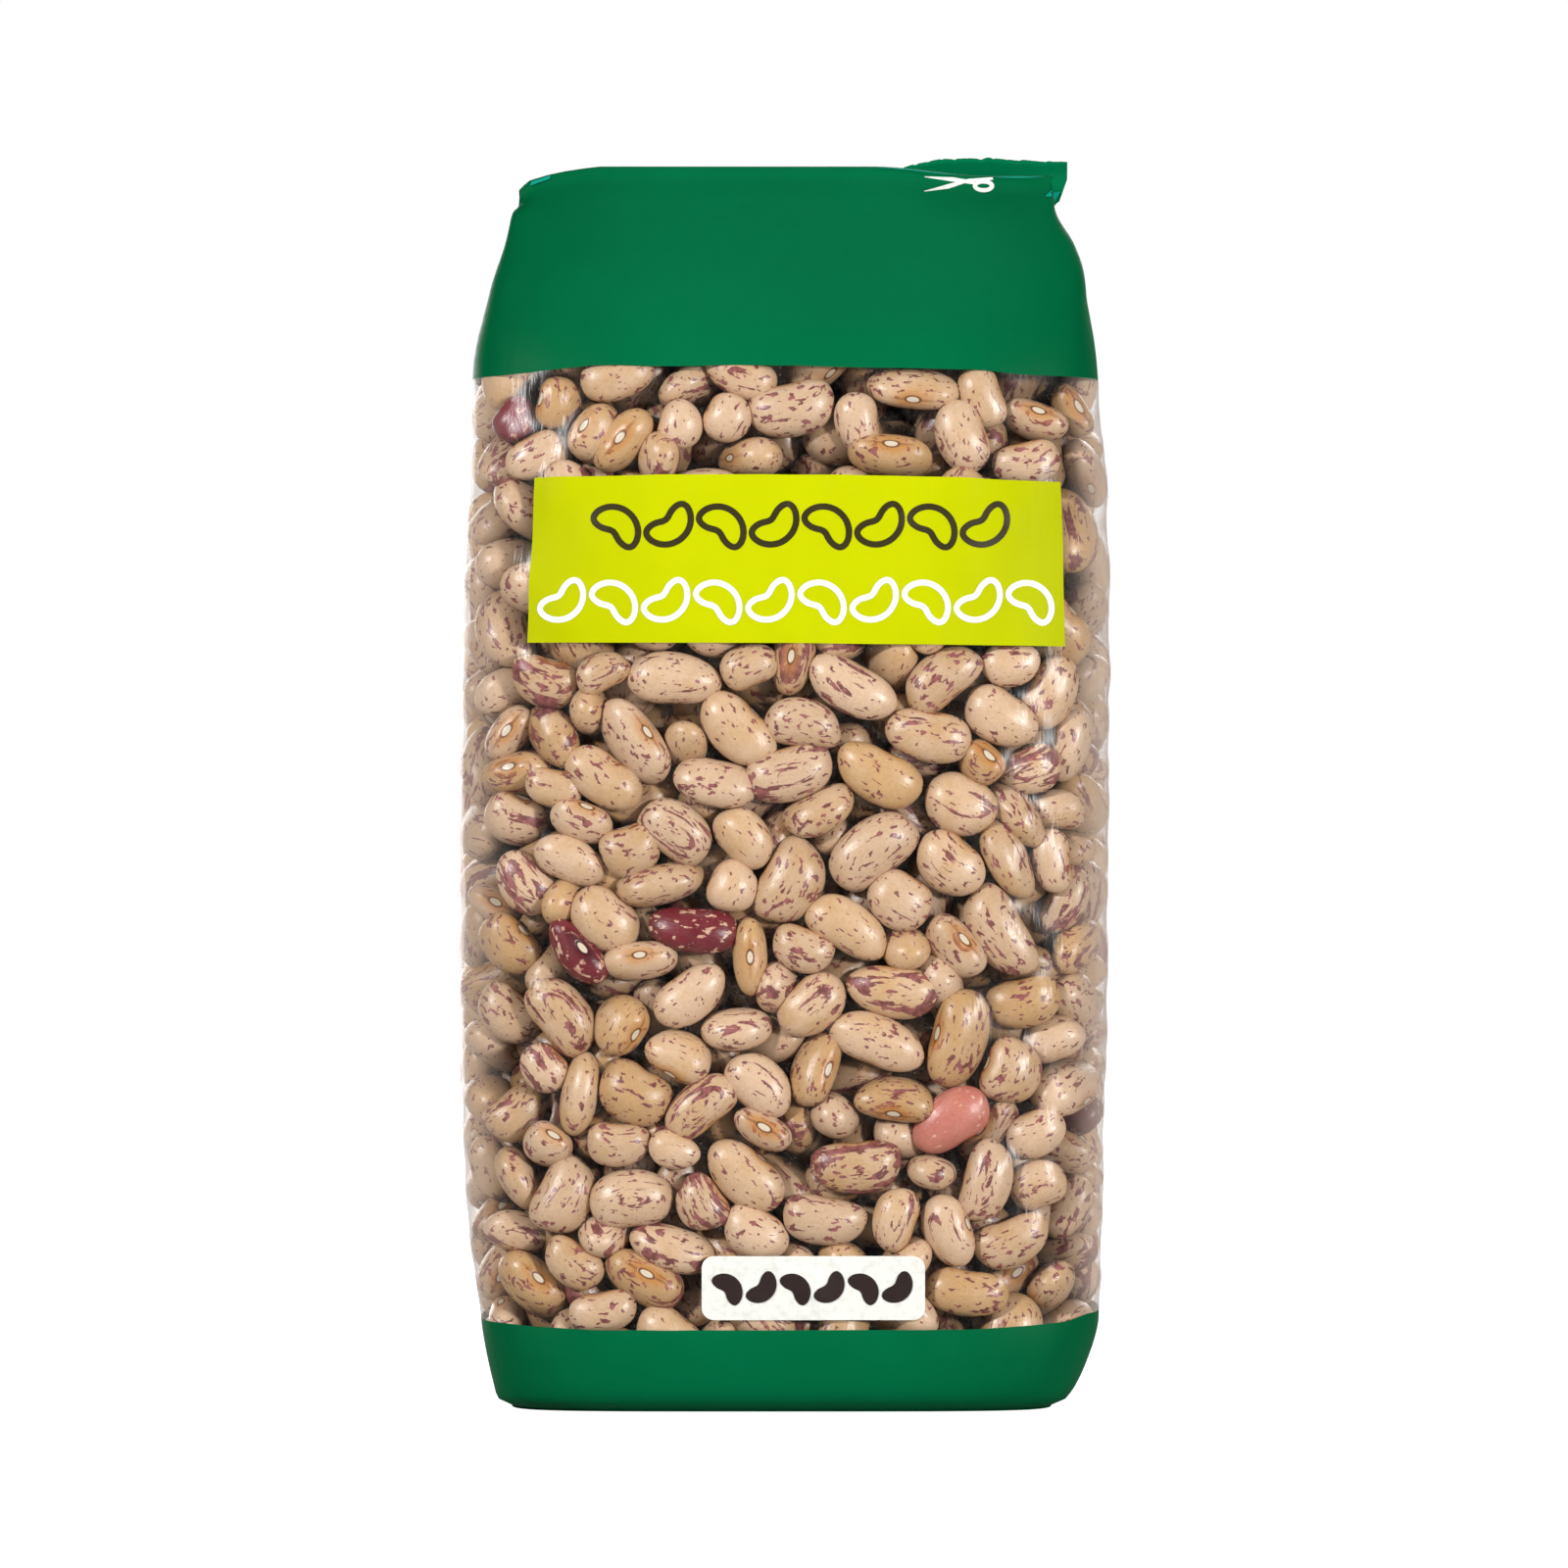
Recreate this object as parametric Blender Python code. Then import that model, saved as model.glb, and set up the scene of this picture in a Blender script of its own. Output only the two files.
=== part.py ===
"""Clear sealed bag of dried speckled beans, standing on its block bottom.

One closed solid in metres, +Z up, front at -Y, with the origin at the middle of the base.
The bag is lofted through stations up its height. In the clear window between the printed bands the film
lies close over the beans, so their backs stand out of it in low relief. The seal strip is folded up behind
the ridge at the top, and a fin seam runs down the back.
"""

import functools
import math
import random
from typing import NamedTuple

import bmesh
import bpy
from mathutils import Matrix, Vector
from mathutils.geometry import delaunay_2d_cdt

MM = 0.001

# Driving sizes, in millimetres
BELLY_WIDTH = 110.2
BELLY_DEPTH = 64.0
RIDGE_HEIGHT = 208.1
WINDOW_BOTTOM, WINDOW_TOP = 14.4, 173.5

# Printed fields on the front, where the stiffer film shows the beans only faintly
LABEL_LEFT, LABEL_RIGHT = -42.2, 46.8
LABEL_BOTTOM, LABEL_TOP = 127.3, 155.5
PLATE_LEFT, PLATE_RIGHT = -13.8, 23.5
PLATE_BOTTOM, PLATE_TOP = 15.2, 26.4
PRINT_RELIEF = 0.3
SIDE_RELIEF = 0.3
SIDE_FROM, SIDE_OVER = 43.0, 9.0
RELIEF_FADE = 5.0

# Beans against the film: flat, on edge and end on, each with its length, its width and how often it is tried
BEAN_POSES = ((14.2, 9.8, 4200), (13.6, 7.6, 5200), (9.4, 7.6, 7000))
BEAN_SIZE_SPREAD = 0.11
BEAN_OVERLAP = 0.98
BEAN_SUNK = 0.9
BEAN_TILT = 0.08
BEAN_WAIST = 0.3
CROWN_SHARE, CROWN_SIDES, CROWN_DEPTH = 0.8, 7, 1.0
GAP_SHARE, GAP_SIDES, GAP_DEPTH = 1.14, 10, 3.9
TOUCH_SHARE, TOUCH_DEPTH = 1.03, 3.5
GAP_APART = 1.75
NEAR = 22.0
EDGE_CLEAR = 2.0
SEED = 11

# Left end of the ridge, which droops a little
DROOP = 3.0
DROOP_FROM, DROOP_OVER = 38.0, 7.5
DROOP_BASE, DROOP_RISE = 199.0, 8.0

# Seal strip, folded up behind the ridge and standing free at its right end
STRIP_LEFT, STRIP_RIGHT = -41.0, 48.0
STRIP_THICKNESS = 1.0
STRIP_FOOT = 189.0
STRIP_TOP = 203.6
STRIP_LIFT = 6.6
STRIP_LIFT_FROM, STRIP_LIFT_OVER = 6.0, 28.0
STRIP_FANS_OUT = 2.2
STRIP_NOTCH = 4.4
STRIP_NOTCH_TOP = 203.0
TOOTH_PITCH, TOOTH_DEPTH = 2.4, 0.45

# Fin seam down the back
FIN_LEFT, FIN_RIGHT = -1.5, 11.5
FIN_BOTTOM, FIN_TOP = 3.5, 191.0
FIN_PROUD, FIN_SUNK = 0.6, 3.0
FIN_MARGIN = 3.0
FIN_ROWS = 14

COLUMNS_PER_QUARTER = 12
COLUMNS = 4 * COLUMNS_PER_QUARTER
ARC_SAMPLES = 60
GHOST_MARGIN = 40.0


class Station(NamedTuple):
    """One level of the bag. Power is how square its outline is, tuck how far the side gusset folds in at its
    middle, and shift how far the whole level leans to the right."""

    height: float
    half_width: float
    half_depth: float
    power: float
    tuck: float
    shift: float
    rows_above: int


STATIONS = (
    Station(0.0, 0.412 * BELLY_WIDTH, 0.36 * BELLY_DEPTH, 4.6, 0.0, -0.4, 1),
    Station(1.2, 0.434 * BELLY_WIDTH, 0.41 * BELLY_DEPTH, 4.6, 0.0, -0.3, 1),
    Station(4.0, 0.447 * BELLY_WIDTH, 0.44 * BELLY_DEPTH, 4.5, 0.0, 0.2, 1),
    Station(9.0, 0.462 * BELLY_WIDTH, 0.46 * BELLY_DEPTH, 4.3, 0.0, 0.7, 1),
    Station(WINDOW_BOTTOM, 0.474 * BELLY_WIDTH, 0.474 * BELLY_DEPTH, 4.2, 0.0, 1.0, 3),
    Station(35.0, 0.489 * BELLY_WIDTH, 0.49 * BELLY_DEPTH, 4.1, 0.0, 0.1, 3),
    Station(75.0, 0.499 * BELLY_WIDTH, 0.50 * BELLY_DEPTH, 4.0, 0.0, -0.2, 3),
    Station(120.0, 0.500 * BELLY_WIDTH, 0.50 * BELLY_DEPTH, 4.0, 0.0, 0.1, 3),
    Station(150.0, 0.494 * BELLY_WIDTH, 0.485 * BELLY_DEPTH, 4.0, 0.0, 0.5, 3),
    Station(WINDOW_TOP, 0.485 * BELLY_WIDTH, 0.42 * BELLY_DEPTH, 4.0, 1.0, 0.2, 3),
    Station(187.0, 0.477 * BELLY_WIDTH, 0.30 * BELLY_DEPTH, 4.0, 5.0, 0.6, 2),
    Station(196.0, 0.4645 * BELLY_WIDTH, 0.185 * BELLY_DEPTH, 3.8, 8.0, 0.8, 2),
    Station(203.0, 0.449 * BELLY_WIDTH, 0.085 * BELLY_DEPTH, 3.4, 7.0, 0.4, 2),
    Station(RIDGE_HEIGHT, 0.436 * BELLY_WIDTH, 0.02 * BELLY_DEPTH, 2.8, 4.0, 0.3, 0),
)


class Bean(NamedTuple):
    """A bean in the unrolled wall, where across runs round the bag and up is the height."""

    across: float
    up: float
    half_length: float
    half_width: float
    turn: float
    sunk: float
    tilt: float


def smooth(x):
    """0 below 0, 1 above 1, and an even S between."""
    x = min(1.0, max(0.0, x))
    return x * x * (3 - 2 * x)


def slope_at(index, field):
    """The slope of a station's value against height, limited so that the curve never overshoots."""
    if index in (0, len(STATIONS) - 1):
        return 0.0
    before, here, after = STATIONS[index - 1 : index + 2]
    left = (here[field] - before[field]) / (here.height - before.height)
    right = (after[field] - here[field]) / (after.height - here.height)
    if left * right <= 0:
        return 0.0
    return 2 * left * right / (left + right)


@functools.lru_cache(maxsize=None)
def level(height):
    """(half width, half depth, power, tuck, shift) of the bag at this height."""
    height = min(RIDGE_HEIGHT, max(0.0, height))
    index = max(i for i in range(len(STATIONS) - 1) if STATIONS[i].height <= height)
    low, high = STATIONS[index], STATIONS[index + 1]
    span = high.height - low.height
    t = (height - low.height) / span
    values = []
    for field in range(1, 6):
        start, end = slope_at(index, field) * span, slope_at(index + 1, field) * span
        values.append(
            low[field] * (1 + 2 * t) * (1 - t) ** 2
            + start * t * (1 - t) ** 2
            + high[field] * t * t * (3 - 2 * t)
            + end * t * t * (t - 1)
        )
    return tuple(values)


def quarter_outline(height):
    """Points from the middle of the right side to the middle of the back, an even arc length apart."""
    half_width, half_depth, power, tuck, _ = level(height)
    fine = []
    for i in range(ARC_SAMPLES + 1):
        angle = math.pi / 2 * i / ARC_SAMPLES
        x = half_width * math.cos(angle) ** (2 / power) if i < ARC_SAMPLES else 0.0
        y = half_depth * math.sin(angle) ** (2 / power) if i else 0.0
        x -= tuck * (x / half_width) ** 4 * (1 - y / half_depth) ** 1.5
        fine.append(Vector((x, y)))
    lengths = [0.0]
    for a, b in zip(fine, fine[1:]):
        lengths.append(lengths[-1] + (b - a).length)
    points = []
    k = 0
    for i in range(COLUMNS_PER_QUARTER + 1):
        target = lengths[-1] * i / COLUMNS_PER_QUARTER
        while k < ARC_SAMPLES - 1 and lengths[k + 1] < target:
            k += 1
        share = (target - lengths[k]) / (lengths[k + 1] - lengths[k])
        points.append(fine[k].lerp(fine[k + 1], share))
    return points


@functools.lru_cache(maxsize=None)
def outline(height):
    """The whole outline at this height, anticlockwise from above, from the middle of the right side."""
    quarter = quarter_outline(height)
    shift = level(height)[4]
    loop = [(p.x, p.y) for p in quarter[:-1]]
    loop += [(-p.x, p.y) for p in reversed(quarter[1:])]
    loop += [(-p.x, -p.y) for p in quarter[:-1]]
    loop += [(p.x, -p.y) for p in reversed(quarter[1:])]
    return [Vector((x + shift, y)) for x, y in loop]


def perimeter():
    ring = outline(120.0)
    return sum((b - a).length for a, b in zip(ring, ring[1:] + ring[:1]))


def wall(turn, height):
    """The point of the film at this share of the way round."""

    def on_ring(ring):
        place = (turn % 1.0) * COLUMNS
        k = int(place) % COLUMNS
        return ring[k].lerp(ring[(k + 1) % COLUMNS], place - int(place))

    low = math.floor(height)
    flat = on_ring(outline(float(low))).lerp(on_ring(outline(low + 1.0)), height - low)
    return Vector((flat.x, flat.y, height))


def wall_normal(turn, height):
    along = wall(turn + 0.006, height) - wall(turn - 0.006, height)
    up = wall(turn, height + 2.0) - wall(turn, height - 2.0)
    return along.cross(up).normalized()


def drooped(point):
    """The point with the left end of the ridge let down."""
    low = smooth((-point.x - DROOP_FROM) / DROOP_OVER)
    high = smooth((point.z - DROOP_BASE) / DROOP_RISE)
    return Vector((point.x, point.y, point.z - DROOP * low * high))


def depth_at(x, height):
    """How far the front or back wall lies from the middle plane, above this place."""
    half_width, half_depth, power, _, shift = level(height)
    across = min(1.0, abs(x - shift) / half_width)
    return half_depth * (1 - across**power) ** (1 / power)


def row_heights(first, last):
    """The heights of the lofted rows from one level to another."""
    heights = []
    for low, high in zip(STATIONS, STATIONS[1:]):
        step = (high.height - low.height) / low.rows_above
        heights += [low.height + step * i for i in range(low.rows_above)]
    heights.append(RIDGE_HEIGHT)
    return [z for z in heights if first <= z <= last]


def in_field(point, left, right, bottom, top):
    return point.y < 0 and left < point.x < right and bottom < point.z < top


def relief(point):
    """How strongly the beans press through the film here, from 0 to 1."""
    if point.y > 0 and FIN_LEFT - FIN_MARGIN < point.x < FIN_RIGHT + FIN_MARGIN:
        return 0.0
    ends = min(point.z - WINDOW_BOTTOM, WINDOW_TOP - point.z)
    share = smooth(ends / RELIEF_FADE)
    side = smooth((abs(point.x) - SIDE_FROM) / SIDE_OVER)
    share *= 1 - (1 - SIDE_RELIEF) * side
    if in_field(point, LABEL_LEFT, LABEL_RIGHT, LABEL_BOTTOM, LABEL_TOP):
        share *= PRINT_RELIEF
    if in_field(point, PLATE_LEFT, PLATE_RIGHT, PLATE_BOTTOM, PLATE_TOP):
        share *= PRINT_RELIEF
    return share


def discs(bean):
    """Three (across, up, radius) discs that cover the bean."""
    reach = bean.half_length - bean.half_width
    step = (reach * math.cos(bean.turn), reach * math.sin(bean.turn))
    return [
        (bean.across + k * step[0], bean.up + k * step[1], bean.half_width)
        for k in (-1, 0, 1)
    ]


def apart(a, b, around):
    """The distance between two places of the unrolled wall, which closes on itself."""
    across = abs(a[0] - b[0]) % around
    return math.hypot(min(across, around - across), a[1] - b[1])


def fits(bean, others, around):
    mine = discs(bean)
    for other in others:
        if apart(bean, other, around) > bean.half_length + other.half_length:
            continue
        for a in mine:
            for b in discs(other):
                if apart(a, b, around) < BEAN_OVERLAP * (a[2] + b[2]):
                    return False
    return True


def lay_beans(around):
    """Beans scattered over the unrolled window until few more fit."""
    draw = random.Random(SEED)
    beans = []
    for length, width, tries in BEAN_POSES:
        for _ in range(tries):
            size = 0.5 * (1 + BEAN_SIZE_SPREAD * draw.uniform(-1, 1))
            bean = Bean(
                draw.uniform(0, around),
                draw.uniform(WINDOW_BOTTOM + EDGE_CLEAR, WINDOW_TOP - EDGE_CLEAR),
                length * size,
                width * size,
                draw.uniform(0, math.tau),
                BEAN_SUNK * draw.random(),
                BEAN_TILT * draw.uniform(-1, 1),
            )
            if fits(bean, beans, around):
                beans.append(bean)
    return beans


def round_bean(bean, share, sides):
    """(across, up, distance along the bean) of places round it at this share of its size."""
    places = []
    for k in range(sides):
        angle = math.tau * (k + 0.25) / sides
        waist = 1 - BEAN_WAIST * max(0.0, -math.sin(angle)) ** 3
        along = bean.half_length * share * math.cos(angle)
        aside = bean.half_width * share * waist * math.sin(angle)
        c, s = math.cos(bean.turn), math.sin(bean.turn)
        places.append(
            (bean.across + c * along - s * aside, bean.up + s * along + c * aside, along)
        )
    return places


def inside(place, bean, share, around):
    """Whether this place of the unrolled wall is under this share of the bean."""
    across = (place[0] - bean.across + around / 2) % around - around / 2
    up = place[1] - bean.up
    c, s = math.cos(bean.turn), math.sin(bean.turn)
    along = (c * across + s * up) / bean.half_length
    aside = (c * up - s * across) / bean.half_width
    return math.hypot(along, aside) < share


def window_places(beans, around):
    """(across, up, depth below the film) of the corners of the relief."""
    places = []
    for bean in beans:
        places.append((bean.across, bean.up, bean.sunk))
        for across, up, along in round_bean(bean, CROWN_SHARE, CROWN_SIDES):
            depth = CROWN_DEPTH + bean.sunk + bean.tilt * along
            places.append((across, up, max(0.0, depth)))
    gaps = []
    for bean in beans:
        near = [b for b in beans if b is not bean and apart(b, bean, around) < NEAR]
        gap_round = round_bean(bean, GAP_SHARE, GAP_SIDES)
        touch_round = round_bean(bean, TOUCH_SHARE, GAP_SIDES)
        for gap, touch in zip(gap_round, touch_round):
            place = (gap[0], gap[1], GAP_DEPTH)
            if any(inside(gap, b, TOUCH_SHARE, around) for b in near):
                place = (touch[0], touch[1], TOUCH_DEPTH)
            if any(inside(place, b, TOUCH_SHARE - 0.1, around) for b in near):
                continue
            if all(apart(place, other, around) > GAP_APART for other in gaps):
                gaps.append(place)
    places += gaps
    low, high = WINDOW_BOTTOM + EDGE_CLEAR, WINDOW_TOP - EDGE_CLEAR
    return [place for place in places if low < place[1] < high]


def join_window(places, around):
    """Triangles that fill the window, their corners numbered along the sill, the lintel, then the places."""
    flat = [
        (around * c / COLUMNS, height)
        for height in (WINDOW_BOTTOM, WINDOW_TOP)
        for c in range(COLUMNS)
    ]
    flat += [(place[0] % around, place[1]) for place in places]
    spread = [(x, y, k) for k, (x, y) in enumerate(flat)]
    before = [(x - around, y, k) for x, y, k in spread if x > around - GHOST_MARGIN]
    after = [(x + around, y, k) for x, y, k in spread if x < GHOST_MARGIN]
    spread += before + after
    corners = [Vector((x, y)) for x, y, _ in spread]
    made, _, faces, origins, _, _ = delaunay_2d_cdt(corners, [], [], 0, 1e-6)
    triangles = []
    for face in faces:
        if 0 <= sum(made[k].x for k in face) / 3 < around:
            triangles.append([spread[origins[k][0]][2] for k in face])
    return triangles


def material(name, colour, roughness):
    made = bpy.data.materials.new(name)
    made.use_nodes = True
    shader = made.node_tree.nodes["Principled BSDF"]
    shader.inputs["Base Color"].default_value = (*colour, 1.0)
    shader.inputs["Roughness"].default_value = roughness
    made.diffuse_color = (*colour, 1.0)
    return made


def object_from(name, points, faces, collection=None):
    """A closed mesh object with every face turned outwards."""
    mesh = bpy.data.meshes.new(name)
    mesh.from_pydata([tuple(p * MM) for p in points], [], faces)
    shape = bmesh.new()
    shape.from_mesh(mesh)
    bmesh.ops.recalc_face_normals(shape, faces=shape.faces)
    shape.to_mesh(mesh)
    shape.free()
    made = bpy.data.objects.new(name, mesh)
    (collection or bpy.context.scene.collection).objects.link(made)
    return made


def between(low_row, high_row):
    """Quads between two rows of points, given the number of each row's first point."""
    return [
        (low_row + c, low_row + d, high_row + d, high_row + c)
        for c, d in ((c, (c + 1) % COLUMNS) for c in range(COLUMNS))
    ]


def add_bag():
    """The filled bag, from the flat sole to the ridge."""
    lower = row_heights(0.0, WINDOW_BOTTOM)
    upper = row_heights(WINDOW_TOP, RIDGE_HEIGHT)
    points = []
    for height in lower + upper:
        points += [drooped(Vector((p.x, p.y, height))) for p in outline(height)]
    rows = [COLUMNS * r for r in range(len(lower) + len(upper))]
    sill, lintel = rows[len(lower) - 1], rows[len(lower)]
    faces = [tuple(range(COLUMNS)), tuple(range(rows[-1], rows[-1] + COLUMNS))]
    for low, high in zip(rows, rows[1:]):
        if low != sill:
            faces += between(low, high)
    around = perimeter()
    places = window_places(lay_beans(around), around)
    numbers = [*range(sill, sill + COLUMNS), *range(lintel, lintel + COLUMNS)]
    numbers += range(len(points), len(points) + len(places))
    for triangle in join_window(places, around):
        faces.append([numbers[k] for k in triangle])
    for across, up, depth in places:
        film = wall(across / around, up)
        points.append(film - wall_normal(across / around, up) * depth * relief(film))
    return object_from("bean_bag", points, faces)


def strip_profile(x):
    """(foot, top) of the seal strip at this place along the ridge."""
    lift = smooth((x - STRIP_LIFT_FROM) / STRIP_LIFT_OVER)
    top = STRIP_TOP + STRIP_LIFT * lift
    foot_back = depth_at(min(38.0, max(-38.0, x)), STRIP_FOOT)
    top_back = depth_at(0.0, STRIP_TOP) + STRIP_FANS_OUT * lift
    notch = smooth((x - (STRIP_RIGHT - STRIP_NOTCH)) / STRIP_NOTCH)
    foot = STRIP_FOOT + (STRIP_NOTCH_TOP - STRIP_FOOT) * notch
    share = (foot - STRIP_FOOT) / (top - STRIP_FOOT)
    foot_back += (top_back - foot_back) * share
    return Vector((x, foot_back, foot)), drooped(Vector((x, top_back, top)))


def add_strip(collection):
    """The seal strip with its zigzag cut edge: four corners at each place along it."""
    steps = 2 * round((STRIP_RIGHT - STRIP_LEFT) / TOOTH_PITCH)
    back = Vector((0.0, STRIP_THICKNESS / 2, STRIP_THICKNESS / 4))
    points, faces = [], []
    for i in range(steps + 1):
        foot, top = strip_profile(STRIP_LEFT + (STRIP_RIGHT - STRIP_LEFT) * i / steps)
        top.z -= TOOTH_DEPTH * (i % 2)
        points += [foot - back, top - back, top + back, foot + back]
    for i in range(steps):
        a, b = 4 * i, 4 * i + 4
        faces += [(a + k, b + k, b + (k + 1) % 4, a + (k + 1) % 4) for k in range(4)]
    faces += [(0, 1, 2, 3), tuple(4 * steps + k for k in (3, 2, 1, 0))]
    return object_from("strip", points, faces, collection)


def add_fin(collection):
    """The back seam, folded flat to one side."""
    points, faces = [], []
    for i in range(FIN_ROWS + 1):
        height = FIN_BOTTOM + (FIN_TOP - FIN_BOTTOM) * i / FIN_ROWS
        for x, lift in (
            (FIN_LEFT, -FIN_SUNK),
            (FIN_RIGHT, -FIN_SUNK),
            (FIN_RIGHT, FIN_PROUD),
            (FIN_LEFT, FIN_PROUD),
        ):
            points.append(Vector((x, depth_at(x, height) + lift, height)))
    for i in range(FIN_ROWS):
        a, b = 4 * i, 4 * i + 4
        faces += [(a + k, a + (k + 1) % 4, b + (k + 1) % 4, b + k) for k in range(4)]
    last = 4 * FIN_ROWS
    faces += [(3, 2, 1, 0), tuple(last + k for k in range(4))]
    return object_from("fin", points, faces, collection)


def fuse(core, pieces):
    """Joins the pieces to the core in one union, then removes them."""
    union = core.modifiers.new("fuse", "BOOLEAN")
    union.operation = "UNION"
    union.operand_type = "COLLECTION"
    union.collection = pieces
    union.solver = "MANIFOLD"
    bpy.context.view_layer.update()
    graph = bpy.context.evaluated_depsgraph_get()
    fused = bpy.data.meshes.new_from_object(core.evaluated_get(graph))
    core.modifiers.clear()
    core.data = fused
    for piece in list(pieces.objects):
        bpy.data.objects.remove(piece)
    bpy.data.collections.remove(pieces)


def centre_on_origin(thing):
    """Moves the mesh so that the middle of its box is over the origin and its sole is on the floor."""
    low = Vector(map(min, zip(*(v.co for v in thing.data.vertices))))
    high = Vector(map(max, zip(*(v.co for v in thing.data.vertices))))
    middle = (low + high) / 2
    thing.data.transform(Matrix.Translation((-middle.x, -middle.y, -low.z)))


def main():
    for thing in list(bpy.data.objects):
        bpy.data.objects.remove(thing)
    pieces = bpy.data.collections.new("fused_on")
    bpy.context.scene.collection.children.link(pieces)
    bag = add_bag()
    add_strip(pieces)
    add_fin(pieces)
    fuse(bag, pieces)
    centre_on_origin(bag)
    bag.data.materials.clear()
    bag.data.materials.append(material("clear_film", (0.62, 0.50, 0.36), 0.3))
    bag.data.set_sharp_from_angle(angle=math.radians(35))


main()
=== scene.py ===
"""Looks of the sealed bag of dried beans: clear film, printed bands and label, seams, and the beans inside.

Shapes are worked out in millimetres in the bag's own loft, the same one as the solid's. They are moved into
the frame, in metres, when their meshes are made.
"""

import math

import bmesh
import bpy
import numpy as np
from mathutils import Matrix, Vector
from mathutils.bvhtree import BVHTree


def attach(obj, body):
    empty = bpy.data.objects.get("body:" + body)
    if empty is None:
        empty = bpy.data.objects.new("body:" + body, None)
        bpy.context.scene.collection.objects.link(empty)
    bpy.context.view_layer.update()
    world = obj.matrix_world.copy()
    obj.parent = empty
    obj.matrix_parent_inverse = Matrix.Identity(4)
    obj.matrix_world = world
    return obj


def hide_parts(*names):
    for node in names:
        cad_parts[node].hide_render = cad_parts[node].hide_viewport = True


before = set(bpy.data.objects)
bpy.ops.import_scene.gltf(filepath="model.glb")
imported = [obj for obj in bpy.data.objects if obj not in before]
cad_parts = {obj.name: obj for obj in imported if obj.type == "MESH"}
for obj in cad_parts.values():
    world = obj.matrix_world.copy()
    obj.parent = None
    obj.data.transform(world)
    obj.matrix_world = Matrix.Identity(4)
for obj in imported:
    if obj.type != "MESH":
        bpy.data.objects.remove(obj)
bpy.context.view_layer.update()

MM = 0.001

# The loft of the bag, in millimetres: each station's height, its half width and half depth as shares of the
# belly's width and depth, its squareness, its gusset tuck and its lean to the right
BELLY_WIDTH = 110.2
BELLY_DEPTH = 64.0
RIDGE_HEIGHT = 208.1
STATIONS = np.array(
    (
        (0.0, 0.412, 0.36, 4.6, 0.0, -0.4),
        (1.2, 0.434, 0.41, 4.6, 0.0, -0.3),
        (4.0, 0.447, 0.44, 4.5, 0.0, 0.2),
        (9.0, 0.462, 0.46, 4.3, 0.0, 0.7),
        (14.4, 0.474, 0.474, 4.2, 0.0, 1.0),
        (35.0, 0.489, 0.49, 4.1, 0.0, 0.1),
        (75.0, 0.499, 0.50, 4.0, 0.0, -0.2),
        (120.0, 0.500, 0.50, 4.0, 0.0, 0.1),
        (150.0, 0.494, 0.485, 4.0, 0.0, 0.5),
        (173.5, 0.485, 0.42, 4.0, 1.0, 0.2),
        (187.0, 0.477, 0.30, 4.0, 5.0, 0.6),
        (196.0, 0.4645, 0.185, 3.8, 8.0, 0.8),
        (203.0, 0.449, 0.085, 3.4, 7.0, 0.4),
        (208.1, 0.436, 0.02, 2.8, 4.0, 0.3),
    )
)
LOFT_TO_FRAME = (0.0, -0.4, 0.0)
ARC_SAMPLES = 400

# Printed fields
WINDOW_BOTTOM, WINDOW_TOP = 14.4, 173.5
LABEL_LEFT, LABEL_RIGHT = -42.2, 46.8
LABEL_BOTTOM, LABEL_TOP = 127.3, 155.5
PLATE_LEFT, PLATE_RIGHT = -13.6, 23.3
PLATE_BOTTOM, PLATE_TOP = 15.6, 26.2
PLATE_CORNER = 2.0
PRINT_LIFT = 0.06

# Heights of the print's edges above their level, against the place across the front
TOP_EDGE = (
    (-55, -1.7), (-47, -1.3), (-42, -0.8), (-32, 0.2), (2, 0.2),
    (16, -0.2), (31, -0.5), (41, -1.2), (55, -1.7),
)
BOTTOM_EDGE = (
    (-55, 0.6), (-47, 0.2), (-42, -0.2), (-30, -0.6), (31, -0.5),
    (41, 0.0), (47, 0.5), (51, 1.7), (55, 2.0),
)
LABEL_TOP_EDGE = ((-42, -0.5), (-20, 0.0), (5, 0.0), (25, -0.4), (47, -1.2))
LABEL_BOTTOM_EDGE = ((-42, 0.3), (0, 0.2), (47, -0.3))

# Film: its grid's step, how far inside the loft it lies at least and at most, its gap from the beans, how much
# it sags in each round, and from how far outside the beans are looked for
FILM_STEP = 1.05
FILM_INSET = 0.25
FILM_REACH = 5.0
FILM_CLEAR = 0.13
SAG, PRINT_SAG = 0.02, 0.004
SIDE_SAG, SIDE_FROM = 0.004, 45.0
PLATE_MARGIN = 1.5
DRAPE_ROUNDS = 500
SEARCH_FROM = 1.0
WIDEST = 55.0

# Haze of the film: its share at each side, where it sets in across, and how it grows from mid-side to corner
HAZE_RIGHT, HAZE_LEFT = 0.36, 0.24
HAZE_FROM, HAZE_OVER = 45.0, 8.5
HAZE_LEAST, HAZE_DEPTH_FROM, HAZE_DEPTH_OVER = 0.22, 9.0, 10.0
FIN_HAZE = 0.3

# Ends of the ridge
DROOP_LEFT = ((0.0, 0.0), (31.0, 0.0), (33.6, 0.3), (36.9, 0.8), (39.7, 1.4), (43.0, 2.4), (44.8, 4.2))
DROOP_BASE, DROOP_RISE = 199.0, 8.0
FRONT_DIP, FRONT_DIP_FROM, FRONT_DIP_OVER = 1.6, 15.0, 20.0
PINCH, PINCH_HEIGHT = 1.1, 200.0
SHOULDER, SHOULDER_HEIGHT = 0.6, 191.5

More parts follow.
